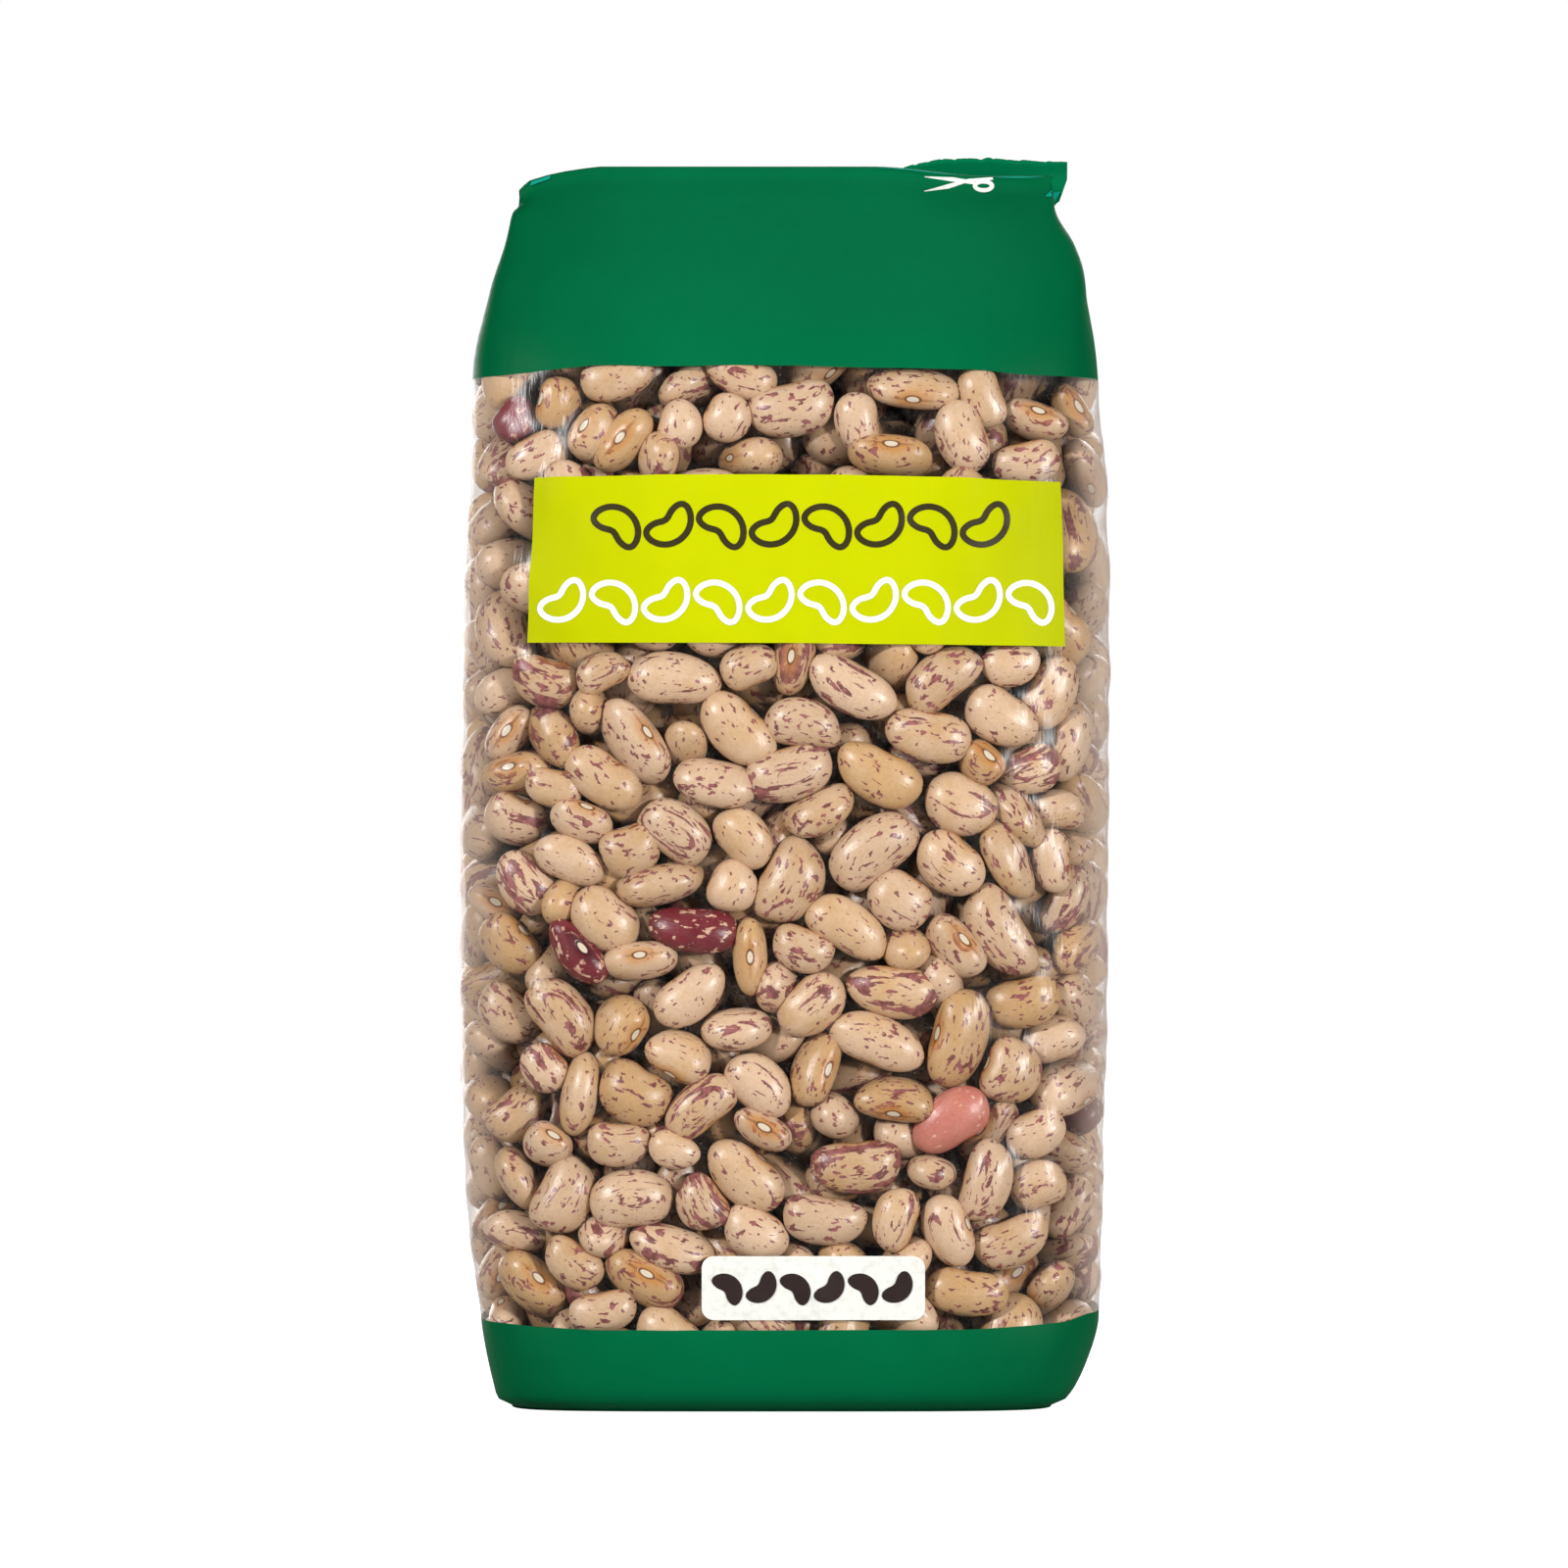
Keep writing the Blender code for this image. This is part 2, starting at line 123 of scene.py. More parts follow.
# Seal strip and fin seam
STRIP_LEFT, STRIP_RIGHT = -41.0, 48.0
STRIP_FOOT, STRIP_TOP = 189.0, 203.6
STRIP_LIFT, STRIP_LIFT_FROM, STRIP_LIFT_OVER = 6.6, 1.0, 28.0
STRIP_FANS_OUT = 2.2
STRIP_NOTCH, STRIP_NOTCH_TOP = 4.4, 203.0
STRIP_THICKNESS = 0.45
TOOTH_PITCH, TOOTH_DEPTH = 2.4, 0.12
FOLD_JUMP = 0.9
FIN_RIGHT = 11.5
FIN_BOTTOM, FIN_TOP = 3.5, 191.0
FIN_PROFILE = (
    (-1.5, -0.2), (-1.45, 0.05), (-1.2, 0.22), (-0.6, 0.3), (1.0, 0.3), (3.0, 0.3), (4.0, 0.33), (5.0, 0.3),
    (6.0, 0.33), (7.0, 0.3), (8.0, 0.33), (9.0, 0.3), (10.4, 0.38), (11.3, 0.52), (11.5, 0.5), (11.4, 0.3),
    (10.6, 0.1),
)

# Beans: their number and middle half sizes, and the packing's rounds, growth, lid and gap from the wall. Then
# the depths of the layers, the least depth at the front, and the folds of the gussets, which hold none
BEAN_COUNT = 1430
BEAN_HALF = (7.1, 4.65, 3.6)
PACK_STEPS = 220
PACK_GROWTH = 130
PACK_LID = 187.5
PACK_INSET = 0.45
BEANS_FROM = 1.25
OUTER_LAYER = 8.0
SECOND_LAYER = 16.5
FRONT_SHARE, FRONT_LEAST = 0.55, 9.0
GUSSET_FROM, GUSSET_WITHIN = 174.5, 36.0
# Painted shade on the beans: the depth inside the bag where it sets in, and the depth over which it grows to
# full
PAINTED_SHADE_FROM, PAINTED_SHADE_OVER = 0.9, 6.6
SPECKLED_BELOW, MAROON_ABOVE = 0.5, 0.994
SEED = 3

# Screen colours of each kind of bean: light, warm, dark marks, paler marks, glow round the eye, and the eye's
# rim. After them, the limits above which noise turns into specks and into streaks
COMMON = ((219, 187, 157), (202, 162, 114), (98, 30, 42), (146, 76, 82), (186, 122, 50), (118, 70, 38))
SKINS = {
    "speckled": (COMMON, (0.745, 0.72)),
    "streaked": (COMMON, (0.765, 0.63)),
    "maroon": (
        ((126, 36, 48), (94, 20, 30), (196, 138, 120), (219, 187, 157), (74, 16, 26), (60, 12, 20)),
        (0.75, 0.82),
    ),
    "pink": (
        ((206, 130, 114), (190, 104, 92), (216, 166, 142), (219, 187, 157), (170, 80, 66), (118, 70, 38)),
        (0.79, 0.8),
    ),
}
EYE = (214, 200, 176)

# Screen colours of the printed films in the middle and at the sides, where they are darkened as painted shade,
# and their roughness
PRINTS = {
    "green_film": ((0, 103, 62), (0, 90, 52), 0.45),
    # The seal strip's green is lighter than the bands' as painted light, against the shade it lies in behind
    # the ridge
    "strip_film_painted_light": ((0, 114, 72), (0, 106, 66), 0.45),
    # Lighter ink for the painted highlights where the ends of the ridge fold
    "painted_glint_film": ((30, 150, 128), (10, 140, 120), 0.3),
    "lime_film": ((194, 202, 0), (176, 183, 0), 0.45),
}
INKS = {"ink_dark": (52, 44, 8), "ink_white": (240, 240, 232), "ink_bean": (44, 30, 28)}
MILKY = (216, 201, 190)
WHITE = (1.0, 1.0, 1.0, 1.0)

# Camera and lamps, in metres and watts: a lamp's place, the height it is aimed at, its size and its power
CAMERA_PLACE, CAMERA_LENS = (0.0, -1.5, 0.1042), 204.2
LAMPS = {
    "key_left": ((-1.0, -1.0, 0.7), 0.1, 0.17, 18.0),
    "key_right": ((0.98, -1.05, 0.25), 0.1, 0.17, 15.8),
    "top": ((0.1, -0.2, 1.2), 0.2, 0.4, 1.6),
    "back_left": ((-0.5, 1.35, 0.35), 0.1, 0.8, 12.0),
    "back_right": ((0.5, 1.3, 0.85), 0.1, 0.8, 13.0),
}
ROOM_GLOW = 0.02
FLOOR_SEEN, FLOOR_GLOW, FLOOR_GREY = 0.95, 0.04, 0.4
FLOOR_HALF, FLOOR_DROP = 6.0, 0.0002


def smooth(x):
    """0 below 0, 1 above 1, and an even S between."""
    x = np.clip(x, 0.0, 1.0)
    return x * x * (3 - 2 * x)


def station_curves():
    """Heights, values and slopes of the stations; the slopes keep the curves from overshooting."""
    heights = STATIONS[:, 0]
    values = STATIONS[:, 1:].copy()
    values[:, 0] *= BELLY_WIDTH
    values[:, 1] *= BELLY_DEPTH
    steps = np.diff(values, axis=0) / np.diff(heights)[:, None]
    product = steps[:-1] * steps[1:]
    total = np.where(steps[:-1] + steps[1:] == 0, 1, steps[:-1] + steps[1:])
    slopes = np.zeros_like(values)
    slopes[1:-1] = np.where(product > 0, 2 * product / total, 0)
    return heights, values, slopes


HEIGHTS, VALUES, SLOPES = station_curves()


def level(z):
    """Half width, half depth, power, tuck and shift of the bag at these heights, along the last axis."""
    z = np.clip(np.asarray(z, float), 0, RIDGE_HEIGHT)
    i = np.clip(np.searchsorted(HEIGHTS, z, side="right") - 1, 0, len(HEIGHTS) - 2)
    span = (HEIGHTS[i + 1] - HEIGHTS[i])[..., None]
    t = (z - HEIGHTS[i])[..., None] / span
    return (
        VALUES[i] * (1 + 2 * t) * (1 - t) ** 2
        + SLOPES[i] * span * t * (1 - t) ** 2
        + VALUES[i + 1] * t * t * (3 - 2 * t)
        + SLOPES[i + 1] * span * t * t * (t - 1)
    )


def ring_points(height, shares):
    """(x, y) of the wall at this height, at these shares of the way round from the middle of the right."""
    half_width, half_depth, power, tuck, shift = level(height)
    angle = np.linspace(0, math.pi / 2, ARC_SAMPLES + 1)
    x = half_width * np.abs(np.cos(angle)) ** (2 / power)
    x[-1] = 0.0
    y = half_depth * np.sin(angle) ** (2 / power)
    x -= tuck * (x / half_width) ** 4 * (1 - y / half_depth) ** 1.5
    reach = np.concatenate(([0.0], np.cumsum(np.hypot(np.diff(x), np.diff(y)))))
    quarter = np.floor(shares * 4).astype(int) % 4
    along = shares * 4 % 1.0
    along = np.where(quarter % 2 == 1, 1 - along, along) * reach[-1]
    side = np.where((quarter == 1) | (quarter == 2), -1.0, 1.0)
    face = np.where(quarter < 2, 1.0, -1.0)
    return side * np.interp(along, reach, x) + shift, face * np.interp(along, reach, y)


def depth_at(x, height):
    """How far the front or back wall lies from the middle plane."""
    half_width, half_depth, power, _, shift = np.moveaxis(level(height), -1, 0)
    across = np.minimum(1.0, np.abs(x - shift) / half_width)
    return half_depth * (1 - across**power) ** (1 / power)


def spaced(keys, step):
    """Even steps of about this size that pass through every key."""
    parts = [np.array(keys[:1])]
    for low, high in zip(keys, keys[1:]):
        count = max(1, round((high - low) / step))
        parts.append(np.linspace(low, high, count + 1)[1:])
    return np.concatenate(parts)


def hump(z, key, reach):
    return smooth(1 - np.abs(z - key) / reach)


def droops_left(points):
    """The points with the left end of the ridge let down."""
    x, y, z = np.moveaxis(points, -1, 0)
    rise = smooth((z - DROOP_BASE) / DROOP_RISE)
    return np.stack([x, y, z - np.interp(-x, *zip(*DROOP_LEFT)) * rise], axis=-1)


def droops(points):
    """The points with both ends of the ridge let down."""
    x, y, z = np.moveaxis(droops_left(points), -1, 0)
    rise = smooth((z - DROOP_BASE) / DROOP_RISE)
    return np.stack([x, y, z - FRONT_DIP * smooth((x - FRONT_DIP_FROM) / FRONT_DIP_OVER) * rise], axis=-1)


def pinched(points):
    """The points with the right end drawn in below the ridge, and the shoulder under it let out."""
    x, y, z = np.moveaxis(points, -1, 0)
    change = SHOULDER * hump(z, SHOULDER_HEIGHT, 7.0) - PINCH * hump(z, PINCH_HEIGHT, 5.5)
    return np.stack([x + change * smooth((x - 30.0) / 12.0), y, z], axis=-1)


def film_grid():
    """The wall as rows and columns of points, with grid lines along every edge of the print."""
    fine = np.linspace(0.5, 1.0, 4001)[:-1]
    x, _ = ring_points((LABEL_BOTTOM + LABEL_TOP) / 2, fine)
    left, right = (float(np.interp(edge, x, fine)) for edge in (LABEL_LEFT, LABEL_RIGHT))
    around = 330.0
    shares = spaced([s * around for s in (0.0, left, right, 1.0)], FILM_STEP)[:-1] / around
    keys = (0.0, 1.2, WINDOW_BOTTOM, LABEL_BOTTOM, LABEL_TOP, WINDOW_TOP, RIDGE_HEIGHT)
    heights = spaced(keys, FILM_STEP)
    grid = np.empty((len(heights), len(shares), 3))
    for row, height in zip(grid, heights):
        row[:, 0], row[:, 1] = ring_points(height, shares)
        row[:, 2] = height
    for k in range(len(shares)):
        column = grid[:, k].copy()
        x = column[:, 0]
        lift = np.interp(x, *zip(*TOP_EDGE)) * hump(heights, WINDOW_TOP, 14.0)
        lift += np.interp(x, *zip(*BOTTOM_EDGE)) * hump(heights, WINDOW_BOTTOM, 10.0)
        if shares[k] > 0.5:
            lift += np.interp(x, *zip(*LABEL_TOP_EDGE)) * hump(heights, LABEL_TOP, 9.0)
            lift += np.interp(x, *zip(*LABEL_BOTTOM_EDGE)) * hump(heights, LABEL_BOTTOM, 9.0)
        moved = heights + lift
        for axis in (0, 1):
            grid[:, k, axis] = np.interp(moved, heights, column[:, axis])
        grid[:, k, 2] = moved
    marks = {
        "left": int(np.argmin(np.abs(shares - left))),
        "right": int(np.argmin(np.abs(shares - right))),
    }
    for name, key in zip(("sill", "label_low", "label_high", "lintel"), keys[2:6]):
        marks[name] = int(np.argmin(np.abs(heights - key)))
    return grid, marks


def grid_normals(grid):
    along = np.roll(grid, -1, axis=1) - np.roll(grid, 1, axis=1)
    up = np.gradient(grid, axis=0)
    normals = np.cross(along, up)
    return normals / np.linalg.norm(normals, axis=-1, keepdims=True)


# Packing of the beans


def turned(spin):
    """Rotation matrices of these rotation vectors."""
    angle = np.linalg.norm(spin, axis=1)
    k = spin / np.maximum(angle, 1e-12)[:, None]
    cross = np.zeros((len(spin), 3, 3))
    cross[:, 0, 1], cross[:, 0, 2] = -k[:, 2], k[:, 1]
    cross[:, 1, 0], cross[:, 1, 2] = k[:, 2], -k[:, 0]
    cross[:, 2, 0], cross[:, 2, 1] = -k[:, 1], k[:, 0]
    s, c = np.sin(angle)[:, None, None], np.cos(angle)[:, None, None]
    return np.eye(3) + s * cross + (1 - c) * (cross @ cross)


def random_turns(draw, count):
    w, a, b, c = (lambda q: q / np.linalg.norm(q, axis=0))(draw.normal(size=(4, count)))
    rows = (
        (1 - 2 * (b * b + c * c), 2 * (a * b - c * w), 2 * (a * c + b * w)),
        (2 * (a * b + c * w), 1 - 2 * (a * a + c * c), 2 * (b * c - a * w)),
        (2 * (a * c - b * w), 2 * (b * c + a * w), 1 - 2 * (a * a + b * b)),
    )
    return np.moveaxis(np.array(rows), -1, 0).copy()


def wall_depths(points):
    """How far these points are outside the bag, and the way out."""
    sizes = level(points[..., 2])
    across = (points[..., 0] - sizes[..., 4]) / (sizes[..., 0] - PACK_INSET)
    deep = points[..., 1] / np.maximum(sizes[..., 1] - PACK_INSET, 0.5)
    folded = np.abs(across) ** 4 * np.maximum(0.0, 1 - np.abs(deep)) ** 1.5
    across = across + np.sign(across) * sizes[..., 3] / sizes[..., 0] * folded
    power = sizes[..., 2]
    full = (np.abs(across) ** power + np.abs(deep) ** power) ** (1 / power)
    share = np.maximum(full, 1e-9)
    gx = (np.abs(across) / share) ** (power - 1) / (sizes[..., 0] - PACK_INSET) * np.sign(across)
    gy = (np.abs(deep) / share) ** (power - 1) / np.maximum(sizes[..., 1] - PACK_INSET, 0.5) * np.sign(deep)
    steep = np.sqrt(gx * gx + gy * gy) + 1e-9
    return (full - 1) / steep, np.stack([gx / steep, gy / steep, 0 * gx], -1)


def farthest(shape, way):
    """The point of each ellipsoid that is farthest along its way, from its centre, and how far that is."""
    reach = np.einsum("nij,nj->ni", shape, way)
    far = np.sqrt((reach * way).sum(1))
    return reach / far[:, None], far


def pack_beans(draw, half, held):
    """Centres and turns of beans of these half sizes, grown and pushed apart in the bag until they fit.

    held is (places, turns) of the first few beans, which stay where they are put across and up the front.
    """
    count = len(half)
    x = np.empty((0, 3))
    while len(x) < count:
        tried = draw.uniform((-52, -29, 4), (52, 29, PACK_LID - 4), (count, 3))
        sizes = level(tried[:, 2])
        inside = np.abs((tried[:, 0] - sizes[:, 4]) / (sizes[:, 0] - 4)) ** sizes[:, 2]
        inside += np.abs(tried[:, 1] / np.maximum(sizes[:, 1] - 4, 1)) ** sizes[:, 2]
        x = np.concatenate([x, tried[inside < 1]])
    x = x[:count]
    turn = random_turns(draw, count)
    places, turns = held
    fixed = len(places)
    x[:fixed] = places
    turn[:fixed] = turns
    signs = [(i, j, k) for i in (-1, 0, 1) for j in (-1, 0, 1) for k in (-1, 0, 1)]
    around = np.array([s for s in signs if any(s)], float)
    around /= np.linalg.norm(around, axis=1)[:, None]
    squares = half**2
    ease = 5.0 / (squares.sum(1)[:, None] - squares)
    everyone = np.arange(count)

    def spin_of(body, arm, push):
        torque = np.cross(arm, push)
        local = np.einsum("nji,nj->ni", turn[body], torque) * ease[body]
        spin = np.einsum("nij,nj->ni", turn[body], local)
        return spin, 1 + (torque * spin).sum(1)

    for step in range(PACK_STEPS):
        size = min(1.0, 0.62 + 0.38 * step / PACK_GROWTH)
        now = half * size
        if step % 8 == 0:
            gaps = ((x[:, None] - x[None]) ** 2).sum(-1)
            near = (now[:, None, 0] + now[None, :, 0] + 1.5) ** 2
            one, two = np.nonzero(np.triu(gaps < near, 1))
        shape = np.einsum("nij,nj,nkj->nik", turn, now**2, turn)
        apart = x[two] - x[one]
        way = apart / np.linalg.norm(apart, axis=1)[:, None]
        for _ in range(4):
            point_one, _ = farthest(shape[one], way)
            point_two, _ = farthest(shape[two], way)
            slide = apart - point_one - point_two
            slide -= (slide * way).sum(1)[:, None] * way
            way = way + 0.12 * slide
            way /= np.linalg.norm(way, axis=1)[:, None]
        point_one, far_one = farthest(shape[one], way)
        point_two, far_two = farthest(shape[two], way)
        overlap = far_one + far_two - (apart * way).sum(1)
        hit = overlap > 0
        i, j, push = one[hit], two[hit], way[hit]
        spin_one, give_one = spin_of(i, point_one[hit], push)
        spin_two, give_two = spin_of(j, -point_two[hit], push)
        amount = 0.5 * overlap[hit] / (give_one + give_two)
        shift, spin = np.zeros_like(x), np.zeros_like(x)
        for axis in range(3):
            shift[:, axis] += np.bincount(j, amount * push[:, axis], count)
            shift[:, axis] -= np.bincount(i, amount * push[:, axis], count)
            spin[:, axis] += np.bincount(j, amount * spin_two[:, axis], count)
            spin[:, axis] -= np.bincount(i, amount * spin_one[:, axis], count)
        arms = np.einsum("nij,nj,kj->nki", turn, now, around)
        points = x[:, None] + arms
        out, ways = wall_depths(points)
        floor = (0.5 - points[..., 2], np.broadcast_to([0, 0, -1.0], points.shape))
        lid = (points[..., 2] - PACK_LID, np.broadcast_to([0, 0, 1.0], points.shape))
        for depth, outward in ((out, ways), floor, lid):
            worst = depth.argmax(1)
            far = depth[everyone, worst]
            body = everyone[far > 0]
            push = outward[body, worst[body]]
            spun, give = spin_of(body, arms[body, worst[body]], push)
            amount = (0.9 * far[body] / give)[:, None]
            shift[body] -= amount * push
            spin[body] -= amount * spun
        length = np.linalg.norm(shift, axis=1)[:, None]
        shift *= np.minimum(1, 1.5 / np.maximum(length, 1e-9))
        angle = np.linalg.norm(spin, axis=1)[:, None]
        spin *= np.minimum(1, 0.25 / np.maximum(angle, 1e-9))
        x += shift
        turn = turned(spin) @ turn
        x[:fixed, 0] = places[:, 0]
        x[:fixed, 2] = places[:, 2]
        x[:fixed, 1] -= 0.15
        turn[:fixed] = turns
    left, _, right = np.linalg.svd(turn)
    return x, left @ right


# Beans of the front whose places are known: kind, across, up, half length, half width, and in degrees how far
# the bean is turned and rolled; at no roll its eye is on its upper side, at 90 it faces out
HELD = (
    ("t", -40.0, 121.1, 5.9, 4.2, -20, 10),
    ("t", -30.1, 122.8, 4.7, 3.1, 25, 180),
    ("t", -18.1, 121.7, 7.9, 4.4, -5, 180),
    ("s", -46.1, 112.6, 5.3, 3.2, 50, 80),
    ("s", -24.8, 111.2, 8.1, 4.2, -55, 55),
    ("s", -30.1, 105.0, 7.1, 4.1, -35, 0),
    ("s", -7.9, 113.0, 7.5, 4.5, -45, 10),
    ("s", -11.4, 104.3, 7.1, 3.9, -12, -30),
    ("s", -5.8, 123.8, 4.9, 3.6, 20, 180),
    ("s", -38.2, 103.5, 4.9, 3.2, -10, 0),
    ("t", -45.2, 98.2, 5.3, 4.2, -20, 20),
    ("s", -33.6, 97.9, 5.4, 3.4, -20, 40),
    ("t", -17.8, 96.6, 6.5, 4.5, -35, 190),
    ("s", -6.5, 95.4, 5.7, 4.1, -50, 200),
    ("s", -35.7, 91.7, 6.2, 3.7, -25, 200),
    ("s", -25.2, 93.1, 5.1, 4.4, 20, 10),
    ("t", -43.1, 87.8, 5.9, 4.4, -50, 0),
    ("s", -20.4, 87.6, 7.7, 3.4, 12, -80),
    ("s", -8.4, 87.2, 4.4, 4.1, 70, 0),
    ("s", -29.9, 81.6, 6.3, 4.7, -40, 0),
    ("m", -15.0, 80.0, 7.5, 3.8, -5, -20),
    ("m", -34.5, 76.3, 6.5, 3.4, -50, 70),
    ("s", -23.8, 75.0, 6.3, 3.2, 5, 75),
    ("y", -5.6, 75.6, 6.5, 2.9, -88, 90),
    ("s", -49.1, 84.1, 4.9, 2.9, -30, 80),
    ("y", -46.3, 77.4, 5.7, 4.1, -45, 30),
    ("t", 11.1, 120.0, 8.1, 4.2, -28, 0),
    ("s", 26.1, 121.9, 7.1, 4.2, 38, 180),
    ("t", 37.7, 123.9, 5.0, 3.7, 5, 0),
    ("t", 44.7, 119.3, 6.5, 4.2, 65, 10),
    ("s", 23.9, 112.1, 7.3, 4.3, -12, 0),
    ("s", 35.9, 115.1, 6.5, 4.5, -30, 0),
    ("s", 47.9, 110.5, 6.3, 3.4, 70, 30),
    ("y", 15.5, 105.6, 7.7, 4.5, -28, 0),
    ("y", 32.6, 107.5, 3.9, 3.6, -45, 60),
    ("h", 41.2, 106.4, 5.2, 4.1, 22, 0),
    ("t", 29.2, 100.6, 6.2, 5.0, -25, 0),
    ("s", 6.0, 99.6, 6.3, 3.6, 28, -40),
    ("s", 14.6, 93.4, 8.1, 4.9, 38, 190),
    ("t", 27.4, 90.8, 6.3, 4.7, -40, 10),
    ("t", 37.0, 91.7, 7.3, 3.6, -65, -60),
    ("s", 44.5, 91.5, 5.4, 3.2, -85, 0),
    ("s", 45.9, 100.0, 4.5, 3.4, 0, 190),
    ("s", 19.0, 84.8, 5.5, 4.7, -35, 0),
    ("s", 10.6, 80.6, 7.5, 4.2, -32, 185),
    ("t", 28.2, 77.1, 6.0, 3.9, -50, 60),
    ("t", 35.6, 79.5, 8.4, 4.7, -58, 0),
    ("s", 1.3, 87.8, 7.5, 5.2, 62, 0),
    ("s", 3.0, 76.7, 5.2, 3.7, -20, 0),
    ("t", 47.5, 84.8, 6.2, 3.4, 65, 0),
    ("t", 1.0, 105.8, 7.3, 4.5, 15, 0),
    ("s", 3.2, 114.3, 6.5, 4.1, -10, 190),
    ("s", -46.3, 65.9, 5.8, 4.2, -38, 0),
    ("t", -36.7, 65.9, 7.1, 4.5, -52, 180),
    ("y", -27.2, 64.3, 5.2, 4.4, 60, 130),
    ("s", -15.4, 69.1, 6.8, 4.1, 38, 0),
    ("s", -17.4, 59.4, 5.7, 4.1, -25, 150),
    ("t", -7.8, 63.6, 6.0, 3.6, 5, -60),
    ("t", -40.0, 57.1, 4.4, 3.7, -50, 0),
    ("t", -33.9, 52.9, 7.1, 3.1, 80, -80),
    ("y", -24.9, 52.7, 6.2, 4.9, -30, 0),
    ("t", -13.9, 51.0, 6.8, 3.9, 40, 180),
    ("t", -4.0, 54.5, 6.3, 4.4, -40, 180),
    ("s", -45.1, 49.4, 5.5, 4.2, 40, 0),
    ("s", -39.4, 44.3, 4.2, 3.7, -30, 60),
    ("s", -27.4, 44.5, 5.2, 3.7, 0, 0),
    ("t", -18.2, 43.5, 4.4, 3.1, -20, 0),
    ("s", -3.6, 47.0, 5.2, 2.9, -30, 80),
    ("s", -50.0, 40.3, 5.4, 3.2, -70, 20),
    ("t", -44.5, 38.4, 6.0, 3.1, -60, -80),
    ("t", -36.3, 36.0, 6.8, 4.9, 65, 0),
    ("t", -25.3, 35.6, 7.0, 4.9, 5, 180),
    ("t", -13.9, 34.8, 5.0, 4.1, -60, 0),
    ("s", -6.6, 39.2, 7.5, 4.5, -42, 10),
    ("t", -45.3, 29.9, 5.4, 3.4, -15, 190),
    ("s", -35.1, 24.6, 5.4, 3.6, -35, 0),
    ("t", -18.6, 27.3, 7.3, 3.7, -18, -40),
    ("y", -23.3, 22.2, 7.1, 4.1, -28, 75),
    ("y", -42.2, 21.1, 6.8, 4.1, -42, 70),
    ("s", -4.8, 29.7, 5.8, 4.2, -30, 0),
    ("s", -30.0, 16.7, 5.7, 3.4, 10, 0),
    ("t", 17.9, 69.8, 7.8, 4.4, -8, 0),
    ("t", 4.7, 67.5, 6.3, 4.5, 38, 0),
    ("s", 15.5, 61.8, 8.3, 4.2, -22, 180),
    ("y", 29.1, 62.0, 8.4, 4.7, 75, 35),
    ("y", 40.1, 67.9, 6.2, 4.2, 12, 0),
    ("s", 45.2, 62.0, 5.4, 3.9, 15, 190),
    ("s", 38.0, 56.5, 5.5, 4.9, 70, 20),
    ("y", 18.3, 52.1, 6.7, 3.7, -5, 130),
    ("p", 27.5, 48.6, 7.1, 4.5, 35, 185),
    ("s", 8.4, 49.2, 4.2, 3.6, -30, -80),
    ("s", 42.1, 46.2, 5.2, 3.9, 25, 0),
    ("t", 12.0, 40.7, 7.6, 4.4, 3, 0),
    ("t", 24.4, 39.9, 4.2, 2.8, -10, -80),
    ("t", 33.8, 38.4, 7.0, 4.1, 75, 0),
    ("t", 42.3, 37.8, 4.9, 4.1, 20, 190),
    ("t", 6.7, 31.9, 7.0, 4.1, -8, 0),
    ("s", 18.3, 32.1, 5.5, 3.7, 75, 180),
    ("t", 27.1, 30.1, 6.3, 4.1, -68, 30),
    ("s", 38.0, 28.3, 6.7, 4.1, 22, 0),
    ("y", 30.3, 19.9, 7.0, 3.9, -8, 0),
    ("s", 48.4, 33.6, 5.7, 3.2, 60, 0),
    ("s", -41.4, 158.5, 5.4, 3.7, 25, 0),
    ("y", -26.6, 161.0, 6.3, 3.7, 50, 80),
    ("s", -17.1, 163.8, 4.2, 3.7, 80, 0),
    ("s", -31.2, 162.4, 5.2, 4.1, 60, 60),
    ("y", -37.5, 167.3, 4.5, 3.6, 75, 30),
    ("s", -27.6, 171.5, 6.2, 3.6, 15, 0),
    ("t", -7.2, 171.9, 6.2, 3.6, -25, 0),
    ("s", -9.3, 164.8, 4.2, 3.9, 60, 0),
    ("m", -44.9, 164.8, 4.1, 3.6, 60, 0),
    ("t", -20.8, 158.2, 4.5, 3.6, 85, -60),
    ("s", 1.3, 166.2, 7.3, 4.5, 12, 0),
    ("t", 12.1, 164.0, 5.2, 3.7, -80, 0),
    ("s", 21.5, 169.8, 7.8, 3.4, -5, 120),
    ("y", 17.6, 158.5, 7.1, 3.6, -5, 60),
    ("s", 29.4, 161.7, 6.3, 4.2, -70, 0),
    ("t", 32.7, 168.4, 5.4, 3.6, -70, 0),
    ("s", 42.2, 164.5, 5.7, 3.2, -20, 60),
    ("s", 40.4, 157.4, 5.7, 3.6, 10, 0),
    ("y", 48.9, 166.3, 4.9, 2.8, -60, 60),
)
KINDS = {
    "s": "speckled",
    "t": "streaked",
    "y": "speckled",
    "h": "streaked",
    "m": "maroon",
    "p": "pink",
}
THICKNESS_SHARE = 0.79


